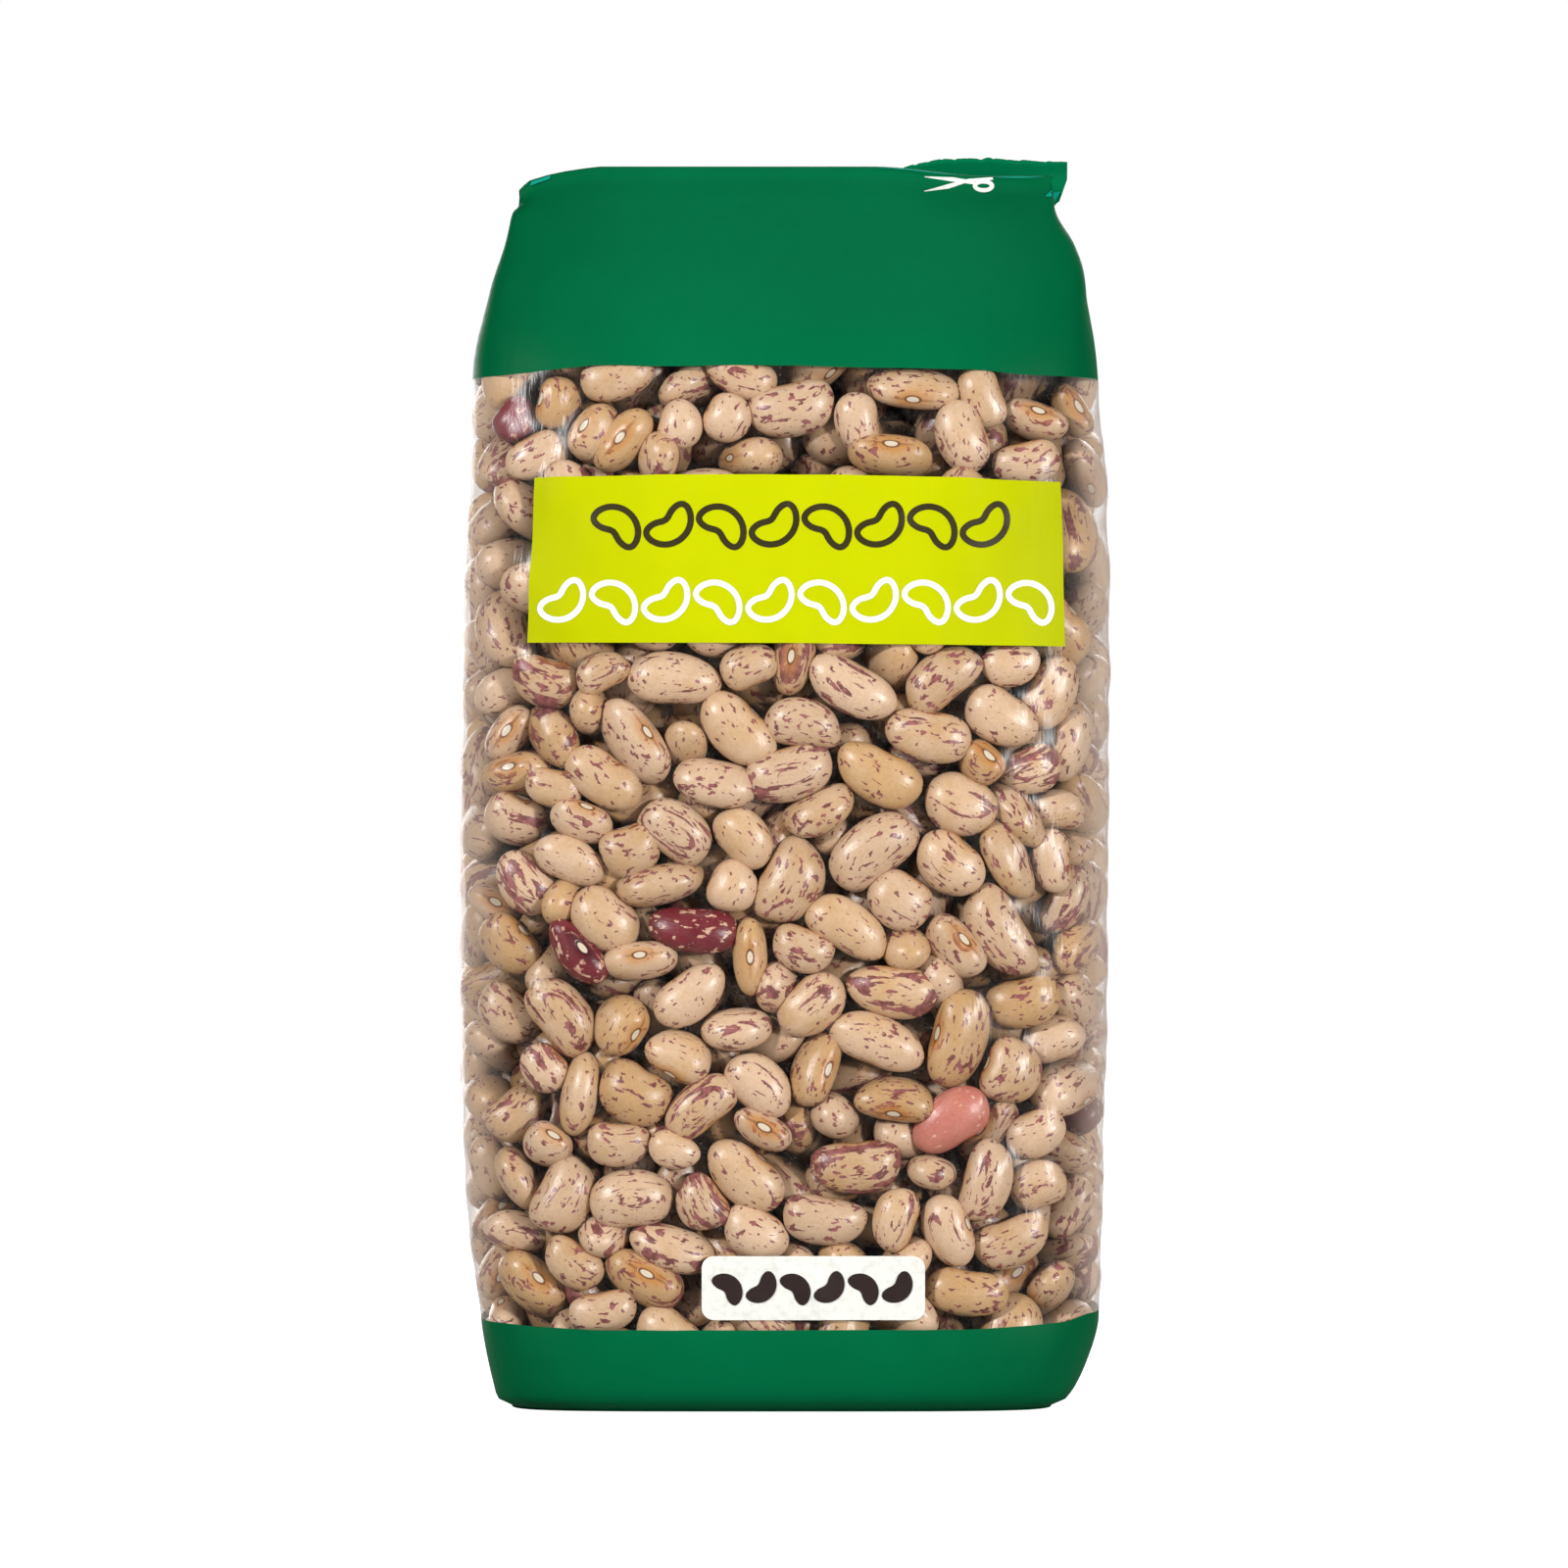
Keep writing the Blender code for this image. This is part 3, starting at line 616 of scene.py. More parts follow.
def held_beans():
    """(kind letters, places, turns, half sizes) of the beans whose places are known."""
    kinds, places, turns, halves = [], [], [], []
    for kind, x, z, half_length, half_width, angle, roll in HELD:
        a, r = math.radians(angle), math.radians(roll)
        along = np.array((math.cos(a), 0.0, math.sin(a)))
        aside = np.array((-math.sin(a), 0.0, math.cos(a)))
        out = np.array((0.0, -1.0, 0.0))
        wide = math.cos(r) * aside + math.sin(r) * out
        kinds.append(kind)
        places.append((x, 4.5 - float(depth_at(x, z)), z))
        turns.append(np.stack([along, wide, np.cross(along, wide)], axis=1))
        # The half width read is that of the outline, which the roll makes narrower than the bean
        seen = math.hypot(math.cos(r), THICKNESS_SHARE * math.sin(r))
        wide_half = half_width / seen
        halves.append((half_length, wide_half, wide_half * THICKNESS_SHARE))
    return kinds, np.array(places), np.array(turns), np.array(halves)


def settle(centres, turns, half, draws):
    """Moves each bean in until none of its own form is outside the bag or down in the sole's folds."""
    corners, _ = ball(3)
    arms = np.einsum("nij,nkj->nki", turns, bean_forms(corners, half, draws))
    everyone = np.arange(len(centres))
    for _ in range(6):
        points = centres[:, None] + arms
        out, ways = wall_depths(points)
        worst = out.argmax(1)
        far = np.maximum(0.0, out[everyone, worst])
        centres -= far[:, None] * ways[everyone, worst]
        centres[:, 2] += np.maximum(0.0, BEANS_FROM - points[..., 2].min(1))
        centres[:, 2] -= np.maximum(0.0, points[..., 2].max(1) - PACK_LID)


def bean_sizes(draw, count):
    half = np.empty((count, 3))
    size = draw.normal(1, 0.055, count).clip(0.85, 1.14)
    for axis, (middle, spread) in enumerate(zip(BEAN_HALF, (0.045, 0.04, 0.05))):
        half[:, axis] = middle * size * draw.normal(1, spread, count).clip(0.88, 1.12)
    return half


# Bean meshes


def ball(subdivisions):
    """Corners and triangles of a unit sphere."""
    shape = bmesh.new()
    bmesh.ops.create_icosphere(shape, subdivisions=subdivisions, radius=1.0)
    corners = np.array([v.co for v in shape.verts])
    corners /= np.linalg.norm(corners, axis=1)[:, None]
    faces = np.array([[v.index for v in f.verts] for f in shape.faces])
    shape.free()
    return corners, faces


def bean_forms(corners, half, draws):
    """The corners of plump kidney shapes that fill these half sizes; the eye's side is +y."""
    x, y, z = corners.T
    d = draws[:, :, None]
    bend = 0.06 + 0.16 * d[:, 0]
    taper = 0.24 * (d[:, 1] - 0.5)
    dent = (0.03 + 0.06 * d[:, 2]) * np.exp(-((x / 0.3) ** 2)) * np.clip(y, 0, 1) ** 3
    full = (1 + taper * x) * (1 + 0.17 * x * x)
    wide = y * full + bend * (x * x - 0.35) - dent
    lump = 0.02 * np.sin(2.6 * x + 6.3 * d[:, 3]) + 0.02 * np.sin(3.1 * y + 6.3 * d[:, 1])
    thick = z * (1 + taper * x) * (1 + 0.12 * x * x) * (1 + lump) + 0.05 * (d[:, 2] - 0.5) * x
    long = x * (1 + 0.04 * np.sin(3 * y + 6.3 * d[:, 0])) + 0.1 * (d[:, 3] - 0.5) * y * x * x
    forms = np.stack(np.broadcast_arrays(long, wide, thick), axis=-1)
    low, high = forms.min(1, keepdims=True), forms.max(1, keepdims=True)
    return (forms - (low + high) / 2) / ((high - low) / 2) * half[:, None]


def cell_unwrap(corners, faces, count):
    """Loop UVs with a cell for each bean, its two halves side by side."""
    columns = max(1, math.ceil(math.sqrt(count / 2)))
    rows = math.ceil(count / columns)
    lower = corners[faces].mean(1)[:, 2] < 0
    loops = corners[faces]
    height = np.where(lower[:, None], -loops[..., 2], loops[..., 2])
    flat = np.hypot(loops[..., 0], loops[..., 1]) + 1e-9
    radius = np.arccos(np.clip(height, -1, 1)) / (math.pi / 2) * 0.215
    u = 0.25 + 0.5 * lower[:, None] + radius * loops[..., 0] / flat
    v = 0.5 + 2 * radius * loops[..., 1] / flat
    cell = np.arange(count)
    uv = np.empty((count, *u.shape, 2))
    uv[..., 0] = (cell % columns)[:, None, None] + u
    uv[..., 1] = (cell // columns)[:, None, None] + v
    return uv / (columns, rows)


def mesh_object(name, points, faces, material, smooth_faces=True):
    """A mesh of loft points in millimetres that rides with the bag."""
    mesh = bpy.data.meshes.new(name)
    placed = (np.asarray(points, float) + LOFT_TO_FRAME) * MM
    mesh.from_pydata(placed.tolist(), [], [tuple(int(k) for k in f) for f in faces])
    mesh.polygons.foreach_set("use_smooth", [smooth_faces] * len(mesh.polygons))
    mesh.materials.append(material)
    piece = bpy.data.objects.new(name, mesh)
    bpy.context.scene.collection.objects.link(piece)
    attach(piece, "root")
    return piece


def add_attribute(piece, name, kind, values):
    """A number or a vector for every point of the piece."""
    attribute = piece.data.attributes.new(name, kind, "POINT")
    field = "vector" if kind == "FLOAT_VECTOR" else "value"
    attribute.data.foreach_set(field, np.asarray(values, np.float32).ravel())


def bean_surfaces(beans, chosen, subdivisions):
    """Points of the chosen beans, bean by bean, and the triangles of them all."""
    centres, turns, half, draws = (part[chosen] for part in beans)
    corners, faces = ball(subdivisions)
    forms = bean_forms(corners, half, draws)
    points = np.einsum("nij,nkj->nki", turns, forms) + centres[:, None]
    numbers = faces[None] + (np.arange(len(centres)) * len(corners))[:, None, None]
    return points, numbers.reshape(-1, 3)


def bean_piece(name, beans, chosen, material, subdivisions):
    """One mesh of the chosen beans. Points keep their place in its bean, the bean's draws, and a painted shade
    that darkens them by depth inside the bag.
    """
    points, faces = bean_surfaces(beans, chosen, subdivisions)
    piece = mesh_object(name, points.reshape(-1, 3), faces, material)
    _, _, half, draws = (part[chosen] for part in beans)
    corners, triangles = ball(subdivisions)
    add_attribute(piece, "bean_at", "FLOAT_VECTOR", corners[None] * half[:, None])
    add_attribute(piece, "bean_draw", "FLOAT_VECTOR", np.repeat(draws[:, None, :3], len(corners), axis=1))
    # Painted shade: the deeper a point lies inside the bag, away from the wall and the floor, the darker it is
    # painted
    out, _ = wall_depths(points)
    deep = smooth((np.minimum(-out, points[..., 2]) - PAINTED_SHADE_FROM) / PAINTED_SHADE_OVER)
    add_attribute(piece, "bean_painted_shade", "FLOAT", deep)
    layer = piece.data.uv_layers.new(name="OFBake")
    layer.data.foreach_set("uv", cell_unwrap(corners, triangles, len(half)).astype(np.float32).ravel())
    return piece


# Materials


def srgb(red, green, blue):
    """A linear colour from 0 to 255 screen values."""

    def linear(value):
        value /= 255
        return value / 12.92 if value <= 0.04045 else ((value + 0.055) / 1.055) ** 2.4

    return (linear(red), linear(green), linear(blue), 1.0)


class Shading:
    """The nodes of a material or a world. Each call adds a node and gives back what it puts out."""

    def __init__(self, owner):
        self.owner = owner
        owner.use_nodes = True
        self.tree = owner.node_tree
        self.tree.nodes.clear()

    def add(self, kind, inputs, out=0, **settings):
        node = self.tree.nodes.new("ShaderNode" + kind)
        for key, value in settings.items():
            setattr(node, key, value)
        for key, value in inputs.items():
            if isinstance(value, bpy.types.NodeSocket):
                self.tree.links.new(value, node.inputs[key])
            else:
                node.inputs[key].default_value = value
        return node.outputs[out] if node.outputs else node

    def attribute(self, name, out="Vector"):
        return self.add("Attribute", {}, out, attribute_name=name)

    def maths(self, operation, a, b=0.0, clamp=False):
        return self.add("Math", {0: a, 1: b}, operation=operation, use_clamp=clamp)

    def times(self, a, b):
        return self.maths("MULTIPLY", a, b)

    def plus(self, a, b, clamp=False):
        return self.maths("ADD", a, b, clamp)

    def less(self, a, b):
        return self.maths("SUBTRACT", a, b)

    def stretch(self, vector, by):
        return self.add("VectorMath", {0: vector, 1: by}, operation="MULTIPLY")

    def shift(self, vector, by):
        return self.add("VectorMath", {0: vector, 1: by}, operation="ADD")

    def noise(self, vector, scale, detail=2.0, roughness=0.5, distortion=0.0):
        inputs = {
            "Vector": vector,
            "Scale": scale,
            "Detail": detail,
            "Roughness": roughness,
            "Distortion": distortion,
        }
        return self.add("TexNoise", inputs)

    def between(self, value, low, high, to_low=0.0, to_high=1.0):
        """The value's place between low and high, as an even S."""
        inputs = {"Value": value, "From Min": low, "From Max": high, "To Min": to_low, "To Max": to_high}
        return self.add("MapRange", inputs, interpolation_type="SMOOTHSTEP")

    def mix(self, share, a, b, blend="MIX"):
        return self.add("Mix", {0: share, 6: a, 7: b}, 2, data_type="RGBA", blend_type=blend)

    def bump(self, height, strength, distance, normal=None):
        inputs = {"Height": height, "Strength": strength, "Distance": distance * MM}
        if normal is not None:
            inputs["Normal"] = normal
        return self.add("Bump", inputs)

    def finish(self, shader, output="OutputMaterial"):
        self.add(output, {"Surface": shader})
        return self.owner


def shading(name):
    return Shading(bpy.data.materials.new(name))


def bean_skin(kind):
    """Satin bean skin with elongated specks, long streaks along the contour, the eye with its ring, and
    painted shade deeper in the bag.
    """
    colours, (specks, streaks) = SKINS[kind]
    light, warm, dark, mauve, glow, rim = (srgb(*colour) for colour in colours)
    s = shading("skin_" + kind)
    at = s.attribute("bean_at")
    draw = s.attribute("bean_draw")
    split = s.add("SeparateXYZ", {0: draw})
    first, second, third = split, split.node.outputs[1], split.node.outputs[2]
    own = s.stretch(draw, (97.0, 89.0, 83.0))
    place = s.shift(at, own)
    cloud = s.noise(place, 0.22, 2.0)
    grain = s.noise(s.stretch(place, (0.5, 1.0, 1.0)), 2.6, 3.0, 0.6)
    tint = s.plus(s.times(cloud, 1.1), s.times(third, 0.7))
    colour = s.mix(s.between(tint, 0.55, 1.35), light, warm)
    colour = s.mix(s.between(grain, 0.42, 0.75, 0.0, 0.22), colour, warm)
    mottle = s.noise(place, 1.5, 4.0, 0.7)
    colour = s.mix(s.between(mottle, 0.38, 0.68, 0.0, 0.55), colour, (0.82, 0.79, 0.74, 1.0), "MULTIPLY")
    colour = s.mix(s.between(first, 0.1, 1.0, 0.0, 0.7), colour, (0.8, 0.78, 0.74, 1.0), "MULTIPLY")
    even = s.stretch(at, (1 / BEAN_HALF[0], 1 / BEAN_HALF[1], 1 / BEAN_HALF[2]))
    oval = s.stretch(even, (0.62, 1.0, 0.0))
    flat = s.add("VectorMath", {0: oval}, "Value", operation="LENGTH")
    rings = s.add("CombineXYZ", {0: 0.0, 1: 0.0, 2: s.times(flat, 4.6)})
    contour = s.shift(s.shift(s.stretch(even, (0.9, 1.3, 0.8)), rings), own)
    fine = s.shift(s.stretch(at, (0.45, 0.9, 0.9)), s.stretch(contour, (1.0, 1.0, 0.8)))
    fine = s.noise(fine, 1.0, 2.0, 0.5, 0.2)
    region = s.noise(place, 0.19, 1.0)
    limit = s.less(specks, s.times(region, 0.2))
    limit = s.less(limit, s.times(first, 0.07))
    speck = s.between(s.less(fine, limit), 0.0, 0.02)
    long = s.noise(contour, 1.15, 3.0, 0.6, 0.25)
    ragged = s.noise(s.stretch(place, (0.6, 1.0, 1.0)), 1.9, 2.0, 0.6)
    rough_edge = s.plus(long, s.times(s.less(ragged, 0.5), 0.14))
    limit = s.less(streaks, s.times(second, 0.12))
    streak = s.between(s.less(rough_edge, limit), 0.0, 0.025)
    marks = s.maths("MAXIMUM", speck, streak)
    ink = s.mix(s.between(s.noise(place, 0.9, 2.0), 0.38, 0.62), dark, mauve)
    colour = s.mix(s.times(marks, 0.9), colour, ink)
    inner = s.add("SeparateXYZ", {0: at})
    along, aside, over = inner, inner.node.outputs[1], inner.node.outputs[2]
    u = s.maths("DIVIDE", along, 1.05)
    v = s.maths("DIVIDE", over, 0.5)
    distance = s.maths("SQRT", s.plus(s.times(u, u), s.times(v, v)))
    facing = s.between(aside, 1.0, 2.0)
    halo = s.times(s.between(distance, 1.2, 4.6, 1.0, 0.0), facing)
    halo = s.times(halo, s.between(second, -0.3, 1.0, 0.25, 0.85))
    colour = s.mix(halo, colour, glow)
    ring = s.times(s.between(distance, 1.3, 1.6, 1.0, 0.0), facing)
    colour = s.mix(ring, colour, rim)
    eye = s.times(s.between(distance, 0.9, 1.1, 1.0, 0.0), facing)
    colour = s.mix(eye, colour, srgb(*EYE))
    # Painted shade: skin deeper inside the bag is darkened towards a dark brown
    deep = s.attribute("bean_painted_shade", "Fac")
    colour = s.mix(s.times(deep, 0.82), colour, (0.34, 0.29, 0.25, 1.0), "MULTIPLY")
    beside = s.between(s.maths("ABSOLUTE", over), 0.1, 0.34, 1.0, 0.0)
    reach = s.between(s.maths("ABSOLUTE", along), 2.4, 5.0, 1.0, 0.0)
    seam = s.times(s.times(beside, reach), facing)
    seam = s.times(seam, s.between(second, 0.0, 0.9, 0.1, 0.6))
    outside = s.between(distance, 1.3, 1.6)
    colour = s.mix(s.times(seam, outside), colour, rim)
    wrinkle = s.noise(s.stretch(place, (0.28, 1.0, 1.0)), 1.9, 3.0, 0.6)
    dip = s.less(wrinkle, s.times(ring, 0.8))
    normal = s.bump(dip, 0.55, 0.12)
    shine = s.between(grain, 0.3, 0.8, 0.3, 0.46)
    inputs = {"Base Color": colour, "Roughness": shine, "Normal": normal, "Specular IOR Level": 0.52}
    return s.finish(s.add("BsdfPrincipled", inputs))


def object_mm(s):
    """The place on the piece in millimetres."""
    place = s.add("TexCoord", {}, "Object")
    return s.stretch(place, (1 / MM, 1 / MM, 1 / MM))


def print_film(name):
    """Opaque printed film: nearly even ink, darkened towards the sides as painted shade, with a soft sheen and
    faint wrinkles.
    """
    middle, side, roughness = PRINTS[name]
    s = shading(name)
    place = object_mm(s)
    cloud = s.noise(s.stretch(place, (1.0, 1.0, 0.35)), 0.05, 3.0, 0.6)
    across = s.maths("ABSOLUTE", s.add("SeparateXYZ", {0: place}))
    uneven = s.times(s.between(cloud, 0.35, 0.7), 0.25)
    # Painted shade: the ink turns to its darker side colour towards the sides of the bag
    side_painted_shade = s.between(across, 18.0, 50.0, 0.0, 0.75)
    paint = s.mix(s.plus(uneven, side_painted_shade), srgb(*middle), srgb(*side))
    soft = s.noise(s.stretch(place, (1.0, 1.0, 0.25)), 0.09, 3.0, 0.55, 0.4)
    crinkle = s.noise(place, 0.9, 2.0)
    normal = s.bump(crinkle, 0.12, 0.1, s.bump(soft, 0.4, 0.9))
    shine = s.between(crinkle, 0.3, 0.7, roughness, roughness + 0.08)
    inputs = {"Base Color": paint, "Roughness": shine, "Normal": normal, "Specular IOR Level": 0.03}
    return s.finish(s.add("BsdfPrincipled", inputs))


def clear_film():
    """Thin clear film: nearly invisible, with a sharp sheen, fine dust and haze where it leaves the beans."""
    s = shading("window_film")
    place = object_mm(s)
    haze = s.attribute("haze", "Fac")
    cloud = s.noise(place, 0.35, 3.0, 0.6)
    dust = s.noise(place, 3.2, 2.0, 0.7)
    specks = s.between(dust, 0.6, 0.72)
    veil = s.plus(haze, s.between(cloud, 0.35, 0.75, 0.0, 0.02))
    veil = s.plus(veil, s.times(specks, s.between(cloud, 0.4, 0.65, 0.03, 0.2)))
    edge = s.add("LayerWeight", {"Blend": 0.5}, "Facing")
    veil = s.plus(veil, s.times(s.maths("POWER", edge, 4.0), 0.44), True)
    wrinkles = s.noise(s.stretch(place, (1.0, 1.0, 0.14)), 0.5, 3.0, 0.6, 0.5)
    normal = s.bump(wrinkles, 0.5, 0.25)
    facing = s.add("LayerWeight", {"Blend": 0.5, "Normal": normal}, "Facing")
    gleam = s.plus(s.times(s.maths("POWER", facing, 5.0), 0.34), 0.01)
    glossy = s.add("BsdfAnisotropic", {"Color": WHITE, "Roughness": 0.24, "Normal": normal})
    through = s.add("BsdfTransparent", {"Color": WHITE})
    clear = s.add("MixShader", {0: gleam, 1: through, 2: glossy})
    milky = s.add("BsdfDiffuse", {"Color": srgb(*MILKY)})
    return s.finish(s.add("MixShader", {0: veil, 1: clear, 2: milky}))


def ink(name):
    """Solid printed ink with a slight unevenness."""
    colour = srgb(*INKS[name])
    s = shading(name)
    place = object_mm(s)
    shade = tuple(0.86 * c for c in colour[:3]) + (1.0,)
    paint = s.mix(s.between(s.noise(place, 0.8, 3.0), 0.4, 0.75), colour, shade)
    inputs = {"Base Color": paint, "Roughness": 0.42, "Specular IOR Level": 0.35}
    return s.finish(s.add("BsdfPrincipled", inputs))


# Film


def drape(grid, normals, marks, beans_tree):
    """How far the film lies inside the nominal wall: tight over the beans, and sagging a little between."""
    rows, columns = grid.shape[:2]
    room = np.full((rows, columns), FILM_REACH)
    for r in range(rows):
        for c in range(columns):
            start = Vector(grid[r, c] + normals[r, c] * SEARCH_FROM)
            way = Vector(-normals[r, c])
            found = beans_tree.ray_cast(start, way, FILM_REACH + SEARCH_FROM)
            if found[0] is not None:
                room[r, c] = found[3] - SEARCH_FROM - FILM_CLEAR
    wide = np.concatenate([room[:1], room, room[-1:]])
    room = np.minimum(np.minimum(wide[:-2], wide[1:-1]), wide[2:])
    room = np.minimum(np.minimum(room, np.roll(room, 1, axis=1)), np.roll(room, -1, axis=1))
    room = np.clip(room, FILM_INSET, FILM_REACH)
    sag = np.full((rows, columns), SAG)
    sag[np.abs(grid[..., 0]) > SIDE_FROM] = SIDE_SAG
    sag[marks["label_low"] : marks["label_high"], marks["left"] : marks["right"]] = PRINT_SAG
    x, y, z = np.moveaxis(grid, -1, 0)
    plate_rows = (z > PLATE_BOTTOM - PLATE_MARGIN) & (z < PLATE_TOP + PLATE_MARGIN)
    plate_columns = (x > PLATE_LEFT - PLATE_MARGIN) & (x < PLATE_RIGHT + PLATE_MARGIN) & (y < 0)
    sag[plate_rows & plate_columns] = PRINT_SAG
    sag[: marks["sill"]] = 0.0
    sag[marks["lintel"] :] = 0.0
    depth = np.full((rows, columns), FILM_INSET)
    for _ in range(DRAPE_ROUNDS):
        padded = np.concatenate([depth[:1], depth, depth[-1:]])
        even = padded[:-2] + padded[2:] + np.roll(depth, 1, axis=1) + np.roll(depth, -1, axis=1)
        depth = np.clip(even / 4 + sag, FILM_INSET, room)
        depth[: marks["sill"] - 4] = FILM_INSET
        depth[marks["lintel"] + 6 :] = FILM_INSET
    return depth


def grid_piece(name, points, row_span, columns, material, closed_round=False):
    """The part of a grid between these rows and along these columns."""
    used = points[row_span[0] : row_span[1] + 1][:, list(columns)]
    faces = patch_faces(*used.shape[:2], closed_round)
    return mesh_object(name, used.reshape(-1, 3), faces, material)


def haze_at(points):
    """How milky the film is: strong along the sides, where it stands off the beans."""
    x, y, z = np.moveaxis(np.asarray(points), -1, 0)
    side = np.abs(x - 0.6)
    strip = np.where(x > 0, HAZE_RIGHT, HAZE_LEFT) * smooth((side - HAZE_FROM) / HAZE_OVER)
    corner = smooth((np.abs(y) - HAZE_DEPTH_FROM) / HAZE_DEPTH_OVER)
    strip = strip * (HAZE_LEAST + (1 - HAZE_LEAST) * corner)
    waver = 0.06 * np.sin(z / 7.0 + x / 3.0) + 0.04 * np.sin(z / 2.9)
    return np.clip(strip * (1 + waver), 0, 1)


# Seams and folds


def patch_faces(rows, columns, closed=False):
    """Quads of a grid of points, numbered along its rows."""
    faces = []
    for low in range(0, (rows - 1) * columns, columns):
        high = low + columns
        for c in range(columns if closed else columns - 1):
            d = (c + 1) % columns
            faces.append((low + c, low + d, high + d, high + c))
    return faces


def ridge_cap(ring):
    """The fold of film over the ridge, from above its last ring to the middle plane."""
    rows = []
    for share, rise in ((0.8, 0.12), (0.5, 0.22), (0.2, 0.27), (0.0, 0.28)):
        row = ring.copy()
        row[:, 1] *= share
        row[:, 2] += rise
        rows.append(row)
    return np.array(rows)


def seal_strip():
    """Both faces of the folded seal strip, as one closed grid that runs up its back and down its front."""
    across = np.linspace(STRIP_LEFT, STRIP_RIGHT, 371)
    lift = smooth((across - STRIP_LIFT_FROM) / STRIP_LIFT_OVER)
    top = STRIP_TOP + STRIP_LIFT * lift
    foot_back = depth_at(np.clip(across, -38.0, 38.0), np.full_like(across, STRIP_FOOT))
    top_back = depth_at(0.0, STRIP_TOP) + STRIP_FANS_OUT * lift
    notch = smooth((across - (STRIP_RIGHT - STRIP_NOTCH)) / STRIP_NOTCH)
    foot = STRIP_FOOT + (STRIP_NOTCH_TOP - STRIP_FOOT) * notch
    foot_back = foot_back + (top_back - foot_back) * (foot - STRIP_FOOT) / (top - STRIP_FOOT)
    ragged = 0.16 * np.sin(across * 2.9) + 0.12 * np.sin(across * 1.13 + 1.0) + 0.1 * np.sin(across * 5.7)
    top = top - TOOTH_DEPTH * np.abs((across / TOOTH_PITCH) % 2 - 1) - 0.5 * np.maximum(0, ragged)
    top = top - 0.5 * smooth((across - 33.0) / 14.0) + 0.25 * smooth(1 - np.abs(across - 34.6) / 1.0)
    up = np.linspace(0, 1, 26)[:, None]
    x = np.broadcast_to(across, (26, len(across))).copy()
    z = foot + (top - foot) * up
    y = foot_back + (top_back - foot_back) * up
    end = np.interp(z, (200.0, 202.7, 206.7), (45.2, 46.6, 48.0))
    pull = np.clip((x - 38.0) / 10.0, 0, 1)
    x = np.where(x > 38.0, 38.0 + pull * (end - 38.0), x)
    ribs = 0.05 * np.sin(z * 2 * math.pi / 1.3)
    ribs = ribs * smooth((top - 3.0 - z) / 1.5) * smooth((z - foot - 1.0) / 1.0)
    y = y + ribs + 0.25 * np.sin(across / 7.0) * up * lift
    y = y - 1.3 * smooth((x - 41.5) / 4.5) * smooth((208.0 - z) / 3.5) * smooth((z - 200.5) / 3.0)
    low = np.stack([x, y - STRIP_THICKNESS / 2, z], axis=-1)
    high = np.stack([x, y + STRIP_THICKNESS / 2, z], axis=-1)
    return droops_left(np.concatenate([high, low[::-1]]))


def fin_seam(low, high):
    """The back seam between two heights, folded flat to one side."""
    profile = np.array(FIN_PROFILE)
    heights = np.linspace(low, high, max(3, round((high - low) / 0.35)))
    points = np.empty((len(heights), len(profile), 3))
    points[..., 2] = heights[:, None]
    waver = 0.25 * np.sin(heights / 11.0)[:, None] * (profile[:, 0] > 0)
    points[..., 0] = np.minimum(profile[:, 0] + waver, FIN_RIGHT)
    ribs = 0.035 * np.sin(heights * 2 * math.pi / 1.6)[:, None]
    ribs = ribs * smooth((profile[:, 0] - 2.5) / 1.0) * smooth((10.2 - profile[:, 0]) / 1.0)
    points[..., 1] = depth_at(points[..., 0], points[..., 2]) + profile[:, 1] + ribs
    return points


def sole(ring):
    """The block bottom: its rim, then a little higher the folded flaps and the seal strip laid flat."""
    shares = np.linspace(1.0, 0.0, 61)[:, None]
    middle = ring.mean(0)
    rows = middle + (ring - middle) * shares[..., None]
    x, y = rows[..., 0] - middle[0], rows[..., 1] - middle[1]
    flap = smooth((np.abs(x) - 21.0 - np.abs(y) * 0.9) / 1.2)
    strip = smooth((6.5 - np.abs(y - 2.0)) / 0.8)
    rest = 0.95 - 0.35 * flap
    rest = rest - 0.5 * strip * (1 - 0.4 * flap) + 0.05 * np.sin(y * 5.0) * strip
    rows[..., 2] = rest * smooth((1 - shares) / 0.06)
    return rows[::-1]


# Print


def kidney(angle, half_length, half_width, bow=0.5):
    """Points of a bean's outline at these angles, its eye on the upper side."""
    x = half_length * np.cos(angle)
    full = 1 + 0.2 * np.cos(angle) ** 2
    dent = 0.28 * np.exp(-((np.cos(angle) / 0.32) ** 2)) * (np.sin(angle) > 0)
    return x, half_width * (np.sin(angle) * full + bow * (np.cos(angle) ** 2 - 0.4) - dent)


def placed(x, z, place, turn):
    a = math.radians(turn)
    c, s = math.cos(a), math.sin(a)
    return np.stack([place[0] + c * x - s * z, place[1] + s * x + c * z], axis=-1)


def bean_line(place, half_length, half_width, turn, width):
    """A bean's outline as a closed band of this width."""
    angle = np.linspace(0, 2 * math.pi, 49)
    x, z = kidney(angle, half_length, half_width)
    along = np.stack([np.gradient(x), np.gradient(z)], axis=-1)
    along[0] = along[-1] = (along[0] + along[-1]) / 2
    along /= np.linalg.norm(along, axis=-1, keepdims=True)
    half = width / 2
    sides = [
        placed(x + k * half * along[:, 1], z - k * half * along[:, 0], place, turn) for k in (1, 0, -1)
    ]
    return np.stack(sides, axis=1)


def bean_spot(place, half_length, half_width, turn):
    """A filled bean."""
    angle = np.linspace(0, math.pi, 25)
    x, upper = kidney(angle, half_length, half_width)
    _, lower = kidney(-angle, half_length, half_width)
    shares = np.linspace(0, 1, 6)
    return np.stack([placed(x, upper + (lower - upper) * t, place, turn) for t in shares], axis=1)


